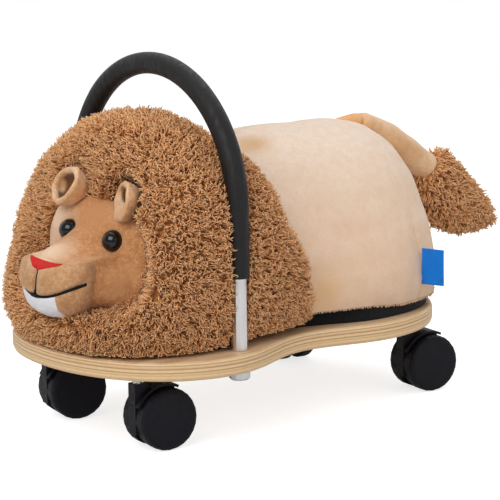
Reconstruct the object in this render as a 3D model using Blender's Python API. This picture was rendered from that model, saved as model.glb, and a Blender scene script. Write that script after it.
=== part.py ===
"""A plush ride-on animal: a stuffed lion on a waisted plywood board with a padded
tube hoop to hold, rolling on four swivelling twin-wheel casters.

Metres, +Z up, wheels on z = 0. The animal looks along -Y and its left side is +X.
The pieces are placed in the board's own frame, whose y = 0 lies across the board's
waist, and the empty ride_on_frame moves that frame so that the whole object's box
is centred on the origin.
"""

import math

import bmesh
import bpy
from mathutils import Matrix, Vector

# Clearances
GAP = 0.0003
OVERRUN = 0.004

# Casters
WHEEL_DIAMETER = 0.050
WHEEL_WIDTH = 0.012
WHEEL_EDGE_ROUND = 0.0035
WHEEL_HUB_RADIUS = 0.0075
WHEEL_WEB = 0.004
AXLE_DIAMETER = 0.005
AXLE_RUNNING_GAP = 0.0003
CASTER_TRAIL = 0.020
HOUSING_WIDTH = 0.0105
HOOD_WIDTH = 0.020
HOOD_THICKNESS = 0.0022
HOOD_GAP = 0.0009
HOOD_START = math.radians(64)
HOOD_END = math.radians(155)
SPINE_DEPTH = 0.0050
HOUSING_HEAD = 0.0045
HEAD_ROOM = 0.0132
STEM_DIAMETER = 0.0075
STEM_FLANGE_RADIUS = 0.0070
STEM_FLANGE_THICKNESS = 0.0024
FRONT_CASTER_X = 0.0625
FRONT_CASTER_INSET = 0.0450
REAR_CASTER_X = 0.0710
REAR_CASTER_INSET = 0.0560

# Trail direction of each caster at rest, in degrees from +Y, seen from above
CASTERS = {
    "front_left": (1, 1, -6.0),
    "front_right": (-1, 1, -11.0),
    "rear_left": (1, -1, -10.0),
    "rear_right": (-1, -1, 78.0),
}

# Tee nuts that hold the caster stems in the board
TEE_FLANGE_RADIUS = 0.0095
TEE_FLANGE_THICKNESS = 0.0015
TEE_BARREL_WALL = 0.0010
TEE_BARREL_LENGTH = 0.0090

# Plywood board
BOARD_THICKNESS = 0.015
BOARD_ROUND = 0.003
FRONT_LOBE_HALF_WIDTH = 0.12485
FRONT_LOBE_Y = -0.1107
FRONT_LOBE_LENGTH = 0.1013
FRONT_LOBE_SQUARENESS = 2.12
WAIST_HALF_WIDTH = 0.1003
WAIST_Y = -0.025
REAR_LOBE_HALF_WIDTH = 0.1165
REAR_LOBE_Y = 0.058
REAR_LOBE_LENGTH = 0.1142

# Black base pad under the plush and the plate inside it
PAD_THICKNESS = 0.0137
PAD_REAR_INSET = 0.015
PAD_END_INSET = 0.003
PAD_FRONT_INSET = 0.030
PLATE_THICKNESS = 0.004
PLATE_INSET = 0.030
SCREW_DIAMETER = 0.004
SCREW_HEAD_DIAMETER = 0.008
SCREW_HEAD_HEIGHT = 0.0024
SCREW_SHARE_OF_PLATE = 0.7
SCREW_YS = (-0.085, 0.060)

# Plush rump
RUMP_INSET = 0.0085
RUMP_OVERHANG = 0.0138
RUMP_HEIGHT = 0.1592
RUMP_BELLY_HEIGHT = 0.035
RUMP_WAIST_DRAW = 0.012
NECK_DIP = 0.0165
NECK_DIP_REACH = 0.075

# Collar plane where the mane meets the rump
COLLAR_Y = -0.010
COLLAR_LEAN = math.radians(17.8)

# Mane
MANE_PAST_HANDLE = 0.0062
MANE_HEIGHT = 0.182
MANE_DEPTH = 0.101
MANE_TO_HANDLE_Y = -0.0097

# Handle hoop
HANDLE_Y = -0.1003
LEG_INSET = 0.01705
TUBE_DIAMETER = 0.0127
TUBE_WALL = 0.0015
GRIP_DIAMETER = 0.0176
GRIP_LEG_BARE = 0.0577
GRIP_ROOM = 0.028
INSERT_LENGTH = 0.022
HANDLE_BOLT_DIAMETER = 0.006
HANDLE_BOLT_HEAD_RADIUS = 0.0084
HANDLE_BOLT_HEAD_HEIGHT = 0.0064
WASHER_RADIUS = 0.0088
WASHER_THICKNESS = 0.0012

# Head: the face, its features and the dish they sit in turn together
HEAD_TURN = math.radians(8)
HEAD_TILT = math.radians(5)
FACE_HALF_WIDTH = 0.056
FACE_HALF_HEIGHT = 0.047
FACE_BULGE = 0.0117
FACE_SINK = 0.020
FACE_SETBACK = 0.0515
FACE_HEIGHT = 0.0718
FACE_POWER = 2.5
DISH_HALF_WIDTH = 0.085
DISH_RISE = 0.050
DISH_DROP = 0.038
DISH_DEPTH = 0.042
DISH_POWER = 3.0
MUZZLE_HALF_WIDTH = 0.0356
MUZZLE_FRONT = 0.0264
MUZZLE_STAND = 0.042
MUZZLE_BACK = 0.036
MUZZLE_HALF_HEIGHT = 0.028
MUZZLE_POWER = 2.1
MUZZLE_BACK_POWER = 1.5
MUZZLE_DROP = 0.0177
MOUTH_DROP = 0.0075
CHIN_SETBACK = 0.002
EYE_RADIUS = 0.0085
EYE_SPACING = 0.0514
EYE_RISE = 0.0165
EYE_DOME = 0.0075
NOSE_HALF_WIDTH = 0.0175
NOSE_HALF_HEIGHT = 0.0062
NOSE_RISE_SHARE = 0.74
NOSE_STAND = 0.0025
EAR_SPACING = 0.067
EAR_TURN = math.radians(15)
EAR_RISE = 0.0500
EAR_STAND = 0.006
EAR_HALF_WIDTH = 0.0180
EAR_HALF_HEIGHT = 0.0165
EAR_HALF_DEPTH = 0.0095
EAR_WALL = 0.0045
EAR_ROOM_REACH = 0.030

# Tail
TAIL_ROOT_Y = 0.098
TAIL_LENGTH = 0.116
TAIL_END_RADIUS = 0.013
TUFT_LENGTH = 0.108
TUFT_SLOPE = math.radians(-38)
TUFT_THICKNESS = 0.046

# Label
LABEL_WIDTH = 0.0193
LABEL_HEIGHT = 0.031
LABEL_THICKNESS = 0.0014
LABEL_RISE = 0.0240
LABEL_TURN = math.radians(15)

# Facet counts
PLAN_STEPS = 20
ROUND_STEPS = 24
SMALL_ROUND_STEPS = 12
ARCH_STEPS = 22

# Heights that follow from the sizes above
AXLE_Z = WHEEL_DIAMETER / 2
UNDERSIDE_Z = WHEEL_DIAMETER + HEAD_ROOM
DECK_Z = UNDERSIDE_Z + BOARD_THICKNESS
PAD_TOP_Z = DECK_Z + GAP + PAD_THICKNESS
BOARD_FRONT_Y = FRONT_LOBE_Y - FRONT_LOBE_LENGTH
BOARD_REAR_Y = REAR_LOBE_Y + REAR_LOBE_LENGTH
SCREW_X = SCREW_SHARE_OF_PLATE * (FRONT_LOBE_HALF_WIDTH - PAD_FRONT_INSET - PLATE_INSET)
HANDLE_HALF_SPAN = FRONT_LOBE_HALF_WIDTH - LEG_INSET
HANDLE_TOP_Z = DECK_Z + MANE_HEIGHT + GRIP_ROOM + GRIP_DIAMETER / 2
ARCH_CENTRE_Z = HANDLE_TOP_Z - HANDLE_HALF_SPAN
MANE_HALF_WIDTH = HANDLE_HALF_SPAN + MANE_PAST_HANDLE
MANE_Y = HANDLE_Y + MANE_TO_HANDLE_Y
RUMP_HALF_WIDTH = REAR_LOBE_HALF_WIDTH - RUMP_INSET
RUMP_ROUND_Y = BOARD_REAR_Y + RUMP_OVERHANG - RUMP_HALF_WIDTH
FACE_Y = MANE_Y - FACE_SETBACK
FACE_Z = DECK_Z + FACE_HEIGHT
DISH_Y = FACE_Y + GAP - DISH_DEPTH
MUZZLE_Y = FACE_Y - MUZZLE_STAND
MUZZLE_Z = FACE_Z - MUZZLE_DROP
MOUTH_Z = MUZZLE_Z - MOUTH_DROP

# The mane's levels: height, half width, front depth and back depth as shares of
# MANE_HEIGHT, MANE_HALF_WIDTH, MANE_DEPTH and MANE_DEPTH, then the squareness in plan
MANE_SHARES = (
    (0.003, 0.90, 0.98, 1.60, 2.3),
    (0.12, 0.97, 1.04, 1.60, 2.6),
    (0.23, 1.00, 0.95, 1.35, 3.2),
    (0.36, 1.00, 0.79, 1.05, 4.3),
    (0.50, 0.99, 0.69, 0.80, 4.8),
    (0.635, 0.94, 0.58, 0.68, 5.2),
    (0.745, 0.855, 0.53, 0.60, 4.4),
    (0.825, 0.745, 0.505, 0.50, 3.2),
    (0.88, 0.64, 0.475, 0.38, 2.6),
    (0.945, 0.465, 0.41, 0.25, 2.2),
    (0.98, 0.30, 0.28, 0.16, 2.0),
    (1.0, 0.110, 0.12, 0.08, 2.0),
)

# The rump's levels below and above its belly line: height, half width and rear depth
# as shares of the height up to there, RUMP_HALF_WIDTH and RUMP_HALF_WIDTH
RUMP_LOW_SHARES = ((0.0, 0.965, 0.930), (0.30, 0.985, 0.965), (0.62, 0.998, 0.955))
RUMP_SHARES = (
    (0.0, 1.0, 0.920),
    (0.16, 0.97, 0.878),
    (0.31, 0.915, 0.861),
    (0.42, 0.865, 0.824),
    (0.53, 0.805, 0.796),
    (0.63, 0.745, 0.752),
    (0.73, 0.665, 0.68),
    (0.82, 0.57, 0.60),
    (0.90, 0.45, 0.48),
    (0.96, 0.30, 0.33),
    (1.0, 0.06, 0.08),
)

# The tail's centreline: distance back, rise and radius as shares of TAIL_LENGTH,
# TAIL_LENGTH and TAIL_END_RADIUS
TAIL_SHARES = (
    (-0.07, -0.03, 0.33),
    (0.06, -0.010, 0.44),
    (0.25, -0.014, 0.62),
    (0.50, -0.112, 0.86),
    (0.73, -0.267, 1.02),
)

# The tuft: distance along it, then its top and bottom edges, as shares of TUFT_LENGTH
TUFT_SHARES = (
    (0.0, 0.125, -0.125),
    (0.05, 0.215, -0.25),
    (0.22, 0.245, -0.33),
    (0.42, 0.235, -0.375),
    (0.60, 0.22, -0.33),
    (0.77, 0.20, -0.22),
    (0.90, 0.17, -0.10),
    (0.975, 0.13, -0.01),
)
TAIL_JOINT_SHARES = (0.98, -0.42)
TAIL_ROOT_Z = DECK_Z + RUMP_HEIGHT - TAIL_END_RADIUS * 0.35
TAIL_JOINT_Y = TAIL_ROOT_Y + TAIL_JOINT_SHARES[0] * TAIL_LENGTH
TAIL_JOINT_Z = TAIL_ROOT_Z + TAIL_JOINT_SHARES[1] * TAIL_LENGTH


def clear_scene():
    for item in list(bpy.data.objects):
        bpy.data.objects.remove(item)


def material(name, colour, roughness, metallic=0.0):
    made = bpy.data.materials.new(name)
    made.use_nodes = True
    shader = made.node_tree.nodes["Principled BSDF"]
    shader.inputs["Base Color"].default_value = (*colour, 1.0)
    shader.inputs["Roughness"].default_value = roughness
    shader.inputs["Metallic"].default_value = metallic
    return made


def make_empty(name, location, parent=None):
    empty = bpy.data.objects.new(name, None)
    empty.location = location
    empty.parent = parent
    bpy.context.collection.objects.link(empty)
    return empty


def add_object(name, data, parent, finish=None, location=(0, 0, 0)):
    piece = bpy.data.objects.new(name, data)
    piece.location = location
    piece.parent = parent
    if finish is not None:
        data.materials.append(finish)
    bpy.context.collection.objects.link(piece)
    return piece


def mesh_from(name, bm, smooth_angle=math.radians(40)):
    bmesh.ops.remove_doubles(bm, verts=bm.verts, dist=GAP / 100)
    bmesh.ops.recalc_face_normals(bm, faces=bm.faces)
    mesh = bpy.data.meshes.new(name)
    bm.to_mesh(mesh)
    bm.free()
    mesh.shade_smooth()
    mesh.set_sharp_from_angle(angle=smooth_angle)
    return mesh


def loft(rings, closed=False):
    """A closed skin over rings of points; closed joins the last ring to the first."""
    bm = bmesh.new()
    rows = [[bm.verts.new(point) for point in ring] for ring in rings]
    pairs = list(zip(rows, rows[1:]))
    if closed:
        pairs.append((rows[-1], rows[0]))
    for lower, upper in pairs:
        for i in range(len(lower)):
            k = (i + 1) % len(lower)
            bm.faces.new((lower[i], lower[k], upper[k], upper[i]))
    if not closed:
        bm.faces.new(rows[0][::-1])
        bm.faces.new(rows[-1])
    return bm


def turned(profile, steps=ROUND_STEPS):
    """A profile of (radius, height) points turned about Z; it closes on itself."""
    rings = []
    for step in range(steps):
        angle = 2 * math.pi * step / steps
        rings.append([(r * math.cos(angle), r * math.sin(angle), z) for r, z in profile])
    bm = loft(rings, closed=True)
    bmesh.ops.remove_doubles(bm, verts=bm.verts, dist=GAP / 100)
    return bm


def rod(radius, low, high, steps=SMALL_ROUND_STEPS):
    return turned([(0, low), (radius, low), (radius, high), (0, high)], steps)


def sleeve(inner, outer, low, high, steps=SMALL_ROUND_STEPS):
    return turned([(inner, low), (outer, low), (outer, high), (inner, high)], steps)


def prism(outline, low, high):
    return loft([[(x, y, low) for x, y in outline], [(x, y, high) for x, y in outline]])


def super_arc(half_width, front, back, power, steps=PLAN_STEPS, centre_y=0.0, back_power=None):
    """A closed plan outline: a superellipse whose front and back may differ."""
    points = []
    for step in range(2 * steps):
        angle = math.pi * step / steps
        c, s = math.cos(angle), math.sin(angle)
        depth = back if s > 0 else front
        bend = 2 / (back_power if back_power and s > 0 else power)
        x = half_width * math.copysign(abs(c) ** bend, c)
        y = depth * math.copysign(abs(s) ** bend, s)
        points.append((x, centre_y + y))
    return points


def egg(half_width, front, back, up, down, power=2.0, steps=12, rows=10, back_power=None):
    """A rounded closed form about the origin with its own reach each way."""
    rings = []
    for row in range(1, rows):
        angle = -math.pi / 2 + math.pi * row / rows
        rise = up if angle > 0 else down
        z = rise * math.copysign(abs(math.sin(angle)) ** (2 / power), angle)
        share = math.cos(angle) ** (2 / power)
        outline = super_arc(half_width * share, front * share, back * share, power, steps,
                            back_power=back_power)
        rings.append([(x, y, z) for x, y in outline])
    bm = loft(rings)
    for end, z in ((0, -down), (-1, up)):
        cap = max(bm.faces, key=lambda f: (len(f.verts), -f.calc_center_median().z if end == 0
                                           else f.calc_center_median().z))
        bmesh.ops.poke(bm, faces=[cap])
        tip = max(bm.verts, key=lambda v: (len(v.link_edges), -v.co.z if end == 0 else v.co.z))
        tip.co.z = z
    return bm


def moved(bm, x=0.0, y=0.0, z=0.0):
    bmesh.ops.translate(bm, verts=bm.verts, vec=(x, y, z))
    return bm


def turned_about(bm, angle, axis):
    bmesh.ops.rotate(bm, verts=bm.verts, matrix=Matrix.Rotation(angle, 3, axis))
    return bm


def cutter(name, data, parent, location=(0, 0, 0)):
    tool = add_object(name, data, parent, None, location)
    tool.hide_render = True
    tool.display_type = "WIRE"
    return tool


def boolean(piece, tool, operation="DIFFERENCE"):
    change = piece.modifiers.new(tool.name, "BOOLEAN")
    change.operation = operation
    change.solver = "EXACT"
    change.object = tool


def sliced(bm, point, normal):
    """The part of a solid that lies behind the plane, closed again with a flat face."""
    cut = bmesh.ops.bisect_plane(
        bm, geom=bm.verts[:] + bm.edges[:] + bm.faces[:], dist=GAP / 1000,
        plane_co=point, plane_no=normal, clear_outer=True)
    rim = [item for item in cut["geom_cut"] if isinstance(item, bmesh.types.BMEdge)]
    bmesh.ops.contextual_create(bm, geom=rim)
    return bm


def ease(share):
    share = min(max(share, 0.0), 1.0)
    return (1 - math.cos(math.pi * share)) / 2


def board_outline(inset=0.0, front_extra=0.0, rear_less=0.0):
    """Plan outline of the board, drawn in by inset, more in front and less behind."""
    half = []
    for step in range(PLAN_STEPS):
        angle = math.pi / 2 * step / PLAN_STEPS
        power = 2 / FRONT_LOBE_SQUARENESS
        half.append((FRONT_LOBE_HALF_WIDTH * math.sin(angle) ** power,
                     FRONT_LOBE_Y - FRONT_LOBE_LENGTH * math.cos(angle) ** power))
    for y0, x0, y1, x1 in (
            (FRONT_LOBE_Y, FRONT_LOBE_HALF_WIDTH, WAIST_Y, WAIST_HALF_WIDTH),
            (WAIST_Y, WAIST_HALF_WIDTH, REAR_LOBE_Y, REAR_LOBE_HALF_WIDTH)):
        for step in range(PLAN_STEPS // 3):
            share = step / (PLAN_STEPS // 3)
            half.append((x0 + (x1 - x0) * ease(share), y0 + (y1 - y0) * share))
    for step in range(PLAN_STEPS + 1):
        angle = math.pi / 2 * step / PLAN_STEPS
        half.append((REAR_LOBE_HALF_WIDTH * math.cos(angle) if step < PLAN_STEPS else 0.0,
                     REAR_LOBE_Y + REAR_LOBE_LENGTH * math.sin(angle)))
    outline = half + [(-x, y) for x, y in reversed(half[1:-1])]
    drawn = []
    for i, (x, y) in enumerate(outline):
        before = Vector(outline[i - 1])
        after = Vector(outline[(i + 1) % len(outline)])
        along = (after - before).normalized()
        step_in = inset + front_extra * ease((REAR_LOBE_Y - y) / (REAR_LOBE_Y - FRONT_LOBE_Y))
        step_in -= rear_less * ease((y - REAR_LOBE_Y) / REAR_LOBE_LENGTH)
        drawn.append((x - along.y * step_in, y + along.x * step_in))
    return drawn


def caster_pivot(side, end):
    if end > 0:
        return Vector((side * FRONT_CASTER_X, BOARD_FRONT_Y + FRONT_CASTER_INSET, 0))
    return Vector((side * REAR_CASTER_X, BOARD_REAR_Y - REAR_CASTER_INSET, 0))


def handle_points(low):
    """The hoop's centreline: a leg, half a circle and the other leg."""
    points = [(HANDLE_HALF_SPAN, HANDLE_Y, low)]
    for step in range(ARCH_STEPS + 1):
        angle = math.pi * step / ARCH_STEPS
        points.append((HANDLE_HALF_SPAN * math.cos(angle), HANDLE_Y,
                       ARCH_CENTRE_Z + HANDLE_HALF_SPAN * math.sin(angle)))
    points.append((-HANDLE_HALF_SPAN, HANDLE_Y, low))
    return points


def hoop_tube(low, radius, bore=None, steps=SMALL_ROUND_STEPS):
    """A tube along the hoop's centreline from the height low, solid where bore is None."""
    points = [Vector(point) for point in handle_points(low)]
    rings = []
    for i, point in enumerate(points):
        along = (points[min(i + 1, len(points) - 1)] - points[max(i - 1, 0)]).normalized()
        if i in (0, len(points) - 1):
            along = Vector((0, 0, 1 if i == 0 else -1))
        outward = Vector((along.z, 0, -along.x))
        rings.append((point, outward))
    def ring(place, reach):
        point, outward = place
        angles = [2 * math.pi * step / steps for step in range(steps)]
        return [point + reach * (outward * math.cos(a) + Vector((0, math.sin(a), 0)))
                for a in angles]
    skin = [ring(place, radius) for place in rings]
    if bore is None:
        return loft(skin)
    skin += [ring(place, bore) for place in reversed(rings)]
    return loft(skin, closed=True)


def build_board(frame, wood):
    bm = prism(board_outline(), UNDERSIDE_Z, DECK_Z)
    board = add_object("base_board", mesh_from("base_board", bm), frame, wood)
    rounding = board.modifiers.new("edge_round", "BEVEL")
    rounding.width = BOARD_ROUND
    rounding.segments = 2
    rounding.limit_method = "ANGLE"
    rounding.angle_limit = math.radians(60)
    barrel = STEM_DIAMETER / 2 + GAP + TEE_BARREL_WALL + GAP
    counterbore = DECK_Z - TEE_FLANGE_THICKNESS - 2 * GAP
    hole = [(0, UNDERSIDE_Z - OVERRUN), (barrel, UNDERSIDE_Z - OVERRUN), (barrel, counterbore),
            (TEE_FLANGE_RADIUS + GAP, counterbore), (TEE_FLANGE_RADIUS + GAP, DECK_Z + OVERRUN),
            (0, DECK_Z + OVERRUN)]
    for name, (side, end, _) in CASTERS.items():
        cut = mesh_from("stem_hole", turned(hole, SMALL_ROUND_STEPS))
        boolean(board, cutter("stem_hole_" + name, cut, frame, caster_pivot(side, end)))
    for side, name in ((1, "left"), (-1, "right")):
        cut = mesh_from("bolt_hole", rod(HANDLE_BOLT_DIAMETER / 2 + GAP,
                                         UNDERSIDE_Z - OVERRUN, DECK_Z + OVERRUN))
        place = (side * HANDLE_HALF_SPAN, HANDLE_Y, 0)
        boolean(board, cutter("bolt_hole_" + name, cut, frame, place))
    for name, (x, y) in screw_places().items():
        cut = mesh_from("screw_hole", screw_form(GAP, UNDERSIDE_Z - GAP, DECK_Z + OVERRUN))
        boolean(board, cutter("screw_hole_" + name, cut, frame, (x, y, 0)))
    return board


def screw_places():
    places = {}
    for side, side_name in ((1, "left"), (-1, "right")):
        for y, end_name in zip(SCREW_YS, ("front", "rear")):
            places[end_name + "_" + side_name] = (side * SCREW_X, y)
    return places


def screw_form(grow, low, high):
    shank = SCREW_DIAMETER / 2 + grow
    head = SCREW_HEAD_DIAMETER / 2 + grow
    return turned([(0, low), (head, low), (head, low + grow), (shank, low + SCREW_HEAD_HEIGHT),
                   (shank, high), (0, high)], SMALL_ROUND_STEPS)


def build_tee_nuts(frame, steel):
    inner = STEM_DIAMETER / 2 + GAP
    outer = inner + TEE_BARREL_WALL
    top = DECK_Z - GAP
    under = top - TEE_FLANGE_THICKNESS
    low = under - TEE_BARREL_LENGTH
    profile = [(inner, low), (outer, low), (outer, under), (TEE_FLANGE_RADIUS, under),
               (TEE_FLANGE_RADIUS, top), (inner, top)]
    mesh = mesh_from("tee_nut", turned(profile, SMALL_ROUND_STEPS))
    for name, (side, end, _) in CASTERS.items():
        add_object("tee_nut_" + name, mesh.copy(), frame, steel, caster_pivot(side, end))


def wheel_profile():
    """Half section of a wheel lying on Z, with its closed outer disc at the top."""
    bore = AXLE_DIAMETER / 2 + AXLE_RUNNING_GAP
    radius = WHEEL_DIAMETER / 2
    rim = radius - WHEEL_WEB
    corner = WHEEL_EDGE_ROUND
    floor = WHEEL_WIDTH - WHEEL_WEB
    return [(bore, 0), (WHEEL_HUB_RADIUS, 0), (WHEEL_HUB_RADIUS, floor), (rim, floor), (rim, 0),
            (radius, 0), (radius, WHEEL_WIDTH - corner),
            (radius - corner * (1 - math.cos(math.pi / 4)),
             WHEEL_WIDTH - corner * (1 - math.sin(math.pi / 4))),
            (radius - corner, WHEEL_WIDTH), (0, WHEEL_WIDTH), (0, floor), (bore, floor)]


def housing_outline():
    """Side view of the caster's plate: distance behind the pivot, then height."""
    hood = WHEEL_DIAMETER / 2 + HOOD_GAP + HOOD_THICKNESS / 2
    plate = WHEEL_DIAMETER / 2 - HOOD_THICKNESS
    top = AXLE_Z + WHEEL_DIAMETER / 2 + HOUSING_HEAD
    front = -SPINE_DEPTH
    low_angle = math.pi + math.pi / 6
    steps = 8
    points = [(front, AXLE_Z - plate / 2)]
    for step in range(steps + 1):
        angle = low_angle + (2 * math.pi + HOOD_START - low_angle) * step / steps
        points.append((CASTER_TRAIL + plate * math.cos(angle), AXLE_Z + plate * math.sin(angle)))
    start, end = HOOD_START + HOOD_GAP / WHEEL_DIAMETER, math.radians(112)
    for step in range(steps + 1):
        angle = start + (end - start) * step / steps
        points.append((CASTER_TRAIL + hood * math.cos(angle), AXLE_Z + hood * math.sin(angle)))
    points.append((SPINE_DEPTH, top))
    points.append((front, top))
    return points


def hood_outline():
    inner = WHEEL_DIAMETER / 2 + HOOD_GAP
    outer = inner + HOOD_THICKNESS
    start, end, steps = HOOD_START, HOOD_END, 9
    angles = [start + (end - start) * step / steps for step in range(steps + 1)]
    ring = [(CASTER_TRAIL + outer * math.cos(a), AXLE_Z + outer * math.sin(a)) for a in angles]
    ring += [(CASTER_TRAIL + inner * math.cos(a), AXLE_Z + inner * math.sin(a))
             for a in reversed(angles)]
    return ring


def side_slab(outline, width):
    """An outline of (distance behind the pivot, height) given a width along X."""
    return loft([[(-width / 2, y, z) for y, z in outline], [(width / 2, y, z) for y, z in outline]])


def build_caster(name, frame, side, end, turn, plastic, steel):
    pivot = caster_pivot(side, end)
    stem_low = AXLE_Z + WHEEL_DIAMETER / 4
    stem_top = DECK_Z - TEE_FLANGE_THICKNESS
    flange_top = UNDERSIDE_Z - GAP
    flange_low = flange_top - STEM_FLANGE_THICKNESS
    radius = STEM_DIAMETER / 2
    stem = [(0, stem_low), (radius, stem_low), (radius, flange_low),
            (STEM_FLANGE_RADIUS, flange_low), (STEM_FLANGE_RADIUS, flange_top),
            (radius, flange_top), (radius, stem_top), (0, stem_top)]
    mesh = mesh_from("caster_stem", turned(stem, SMALL_ROUND_STEPS))
    add_object("caster_stem_" + name, mesh, frame, steel, pivot)

    swivel = make_empty("caster_" + name, pivot, frame)
    swivel.rotation_euler = (0, 0, math.radians(turn))

    plate = mesh_from("caster_housing_" + name, side_slab(housing_outline(), HOUSING_WIDTH))
    housing = add_object("caster_housing_" + name, plate, swivel, plastic)
    hood = mesh_from("hood", side_slab(hood_outline(), HOOD_WIDTH))
    boolean(housing, cutter("hood_" + name, hood, swivel), "UNION")
    socket = mesh_from("socket", rod(radius + GAP, stem_low - GAP, UNDERSIDE_Z))
    boolean(housing, cutter("socket_" + name, socket, swivel))
    bore = mesh_from("axle_bore", turned_about(
        rod(AXLE_DIAMETER / 2 + GAP, -HOUSING_WIDTH, HOUSING_WIDTH), math.radians(90), "Y"))
    boolean(housing, cutter("axle_bore_" + name, bore, swivel, (0, CASTER_TRAIL, AXLE_Z)))

    hub = make_empty("wheel_axis_" + name, (0, CASTER_TRAIL, AXLE_Z), swivel)
    reach = HOUSING_WIDTH / 2 + GAP + WHEEL_WIDTH - WHEEL_WEB - GAP
    axle = mesh_from("caster_axle_" + name, turned_about(
        rod(AXLE_DIAMETER / 2, -reach, reach), math.radians(90), "Y"))
    add_object("caster_axle_" + name, axle, hub, steel)
    for wheel_side, wheel_name in ((1, "a"), (-1, "b")):
        form = moved(turned(wheel_profile()), 0, 0, HOUSING_WIDTH / 2 + GAP)
        turned_about(form, math.radians(90) * wheel_side, "Y")
        full_name = "wheel_" + name + "_" + wheel_name
        add_object(full_name, mesh_from(full_name, form), hub, plastic)


def build_handle(frame, steel, foam, zinc):
    foot = DECK_Z + GAP
    tube_radius = TUBE_DIAMETER / 2
    bore_radius = tube_radius - TUBE_WALL
    tube = hoop_tube(foot, tube_radius, bore_radius, 12)
    add_object("handle_tube", mesh_from("handle_tube", tube), frame, steel)
    grip = hoop_tube(DECK_Z + GRIP_LEG_BARE, GRIP_DIAMETER / 2, tube_radius + GAP, 16)
    add_object("foam_grip", mesh_from("foam_grip", grip), frame, foam)

    bolt_radius = HANDLE_BOLT_DIAMETER / 2
    head_top = UNDERSIDE_Z - 2 * GAP - WASHER_THICKNESS
    insert = mesh_from("handle_insert", sleeve(
        bolt_radius + GAP, bore_radius * math.cos(math.pi / 8) - GAP, foot, foot + INSERT_LENGTH))
    bolt = mesh_from("handle_bolt", turned([
        (0, head_top - HANDLE_BOLT_HEAD_HEIGHT),
        (HANDLE_BOLT_HEAD_RADIUS - BOARD_ROUND / 2, head_top - HANDLE_BOLT_HEAD_HEIGHT),
        (HANDLE_BOLT_HEAD_RADIUS, head_top - HANDLE_BOLT_HEAD_HEIGHT + BOARD_ROUND / 2),
        (HANDLE_BOLT_HEAD_RADIUS, head_top), (bolt_radius, head_top),
        (bolt_radius, foot + INSERT_LENGTH), (0, foot + INSERT_LENGTH)], SMALL_ROUND_STEPS))
    washer = mesh_from("handle_washer", sleeve(
        bolt_radius + GAP, WASHER_RADIUS, head_top + GAP, UNDERSIDE_Z - GAP, 20))
    for side, name in ((1, "left"), (-1, "right")):
        place = (side * HANDLE_HALF_SPAN, HANDLE_Y, 0)
        add_object("handle_insert_" + name, insert.copy(), frame, zinc, place)
        add_object("handle_bolt_" + name, bolt.copy(), frame, zinc, place)
        add_object("handle_washer_" + name, washer.copy(), frame, zinc, place)


def pad_outline(grow=0.0):
    return board_outline(PAD_REAR_INSET - grow, PAD_FRONT_INSET - PAD_REAR_INSET,
                         PAD_REAR_INSET - PAD_END_INSET)


def pad_form(grow=0.0):
    return prism(pad_outline(grow), DECK_Z + GAP - grow, PAD_TOP_Z + grow)


def plate_outline(grow=0.0):
    return board_outline(PAD_REAR_INSET + PLATE_INSET - grow, PAD_FRONT_INSET - PAD_REAR_INSET)


def plate_form():
    return prism(plate_outline(), DECK_Z + GAP, DECK_Z + GAP + PLATE_THICKNESS)


def hollow_pad_form():
    """The pad in one skin, from the ceiling of the plate's room out and up to its top."""
    outer, room = pad_outline(), plate_outline(GAP)
    low = DECK_Z + GAP
    levels = ((room, low + PLATE_THICKNESS + GAP), (room, low), (outer, low), (outer, PAD_TOP_Z))
    return loft([[(x, y, z) for x, y in outline] for outline, z in levels])


def build_base(frame, black, wood, steel):
    add_object("base_pad", mesh_from("base_pad", hollow_pad_form()), frame, black)
    plate = add_object("mounting_plate", mesh_from("mounting_plate", plate_form()), frame, wood)
    tip = DECK_Z + PLATE_THICKNESS - GAP
    screw = mesh_from("plush_screw", screw_form(0.0, UNDERSIDE_Z, tip))
    hole = rod(SCREW_DIAMETER / 2 + GAP, DECK_Z, tip + GAP)
    hole = mesh_from("plate_hole", hole)
    for name, (x, y) in screw_places().items():
        add_object("plush_screw_" + name, screw.copy(), frame, steel, (x, y, 0))
        boolean(plate, cutter("plate_hole_" + name, hole.copy(), frame, (x, y, 0)))


def rump_top(y):
    """Height of the rump's ridge above the belly line, with the dip at the neck."""
    full = RUMP_HEIGHT - RUMP_BELLY_HEIGHT
    neck = COLLAR_Y - RUMP_HEIGHT * math.tan(COLLAR_LEAN)
    return full - NECK_DIP * ease(1 - (y - neck) / NECK_DIP_REACH)


def rump_form(grow=0.0):
    """Loaf-shaped body: straight sides in front and a round end behind."""
    front_y = COLLAR_Y - RUMP_HEIGHT * math.tan(COLLAR_LEAN) - RUMP_HALF_WIDTH / 2
    belly_z = DECK_Z + RUMP_BELLY_HEIGHT
    low = PAD_TOP_Z + GAP - grow
    levels = [(low + (belly_z - low) * share, width, depth, None)
              for share, width, depth in RUMP_LOW_SHARES]
    levels += [(None, width, depth, share) for share, width, depth in RUMP_SHARES]
    rings = []
    for z, width, depth, share in levels:
        width = width * RUMP_HALF_WIDTH + grow
        depth = depth * RUMP_HALF_WIDTH + grow
        ring = []
        stations = 6
        for step in range(stations):
            ring.append((width, front_y + (RUMP_ROUND_Y - front_y) * step / stations))
        arc_steps = 12
        for step in range(arc_steps + 1):
            angle = math.pi * step / arc_steps
            ring.append((width * math.cos(angle), RUMP_ROUND_Y + depth * math.sin(angle)))
        ring += [(-x, y) for x, y in reversed(ring[:stations])]
        waist = []
        for x, y in ring:
            draw = RUMP_WAIST_DRAW * ease((REAR_LOBE_Y - y) / (REAR_LOBE_Y - WAIST_Y))
            height = z if z is not None else belly_z + grow + share * rump_top(y)
            waist.append((x * (1 - draw / RUMP_HALF_WIDTH), y, height))
        rings.append(waist)
    return loft(rings)


def collar_point(offset=0.0):
    return Vector((0, COLLAR_Y + offset, DECK_Z))


COLLAR_NORMAL = Vector((0, math.cos(COLLAR_LEAN), math.sin(COLLAR_LEAN)))


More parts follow.
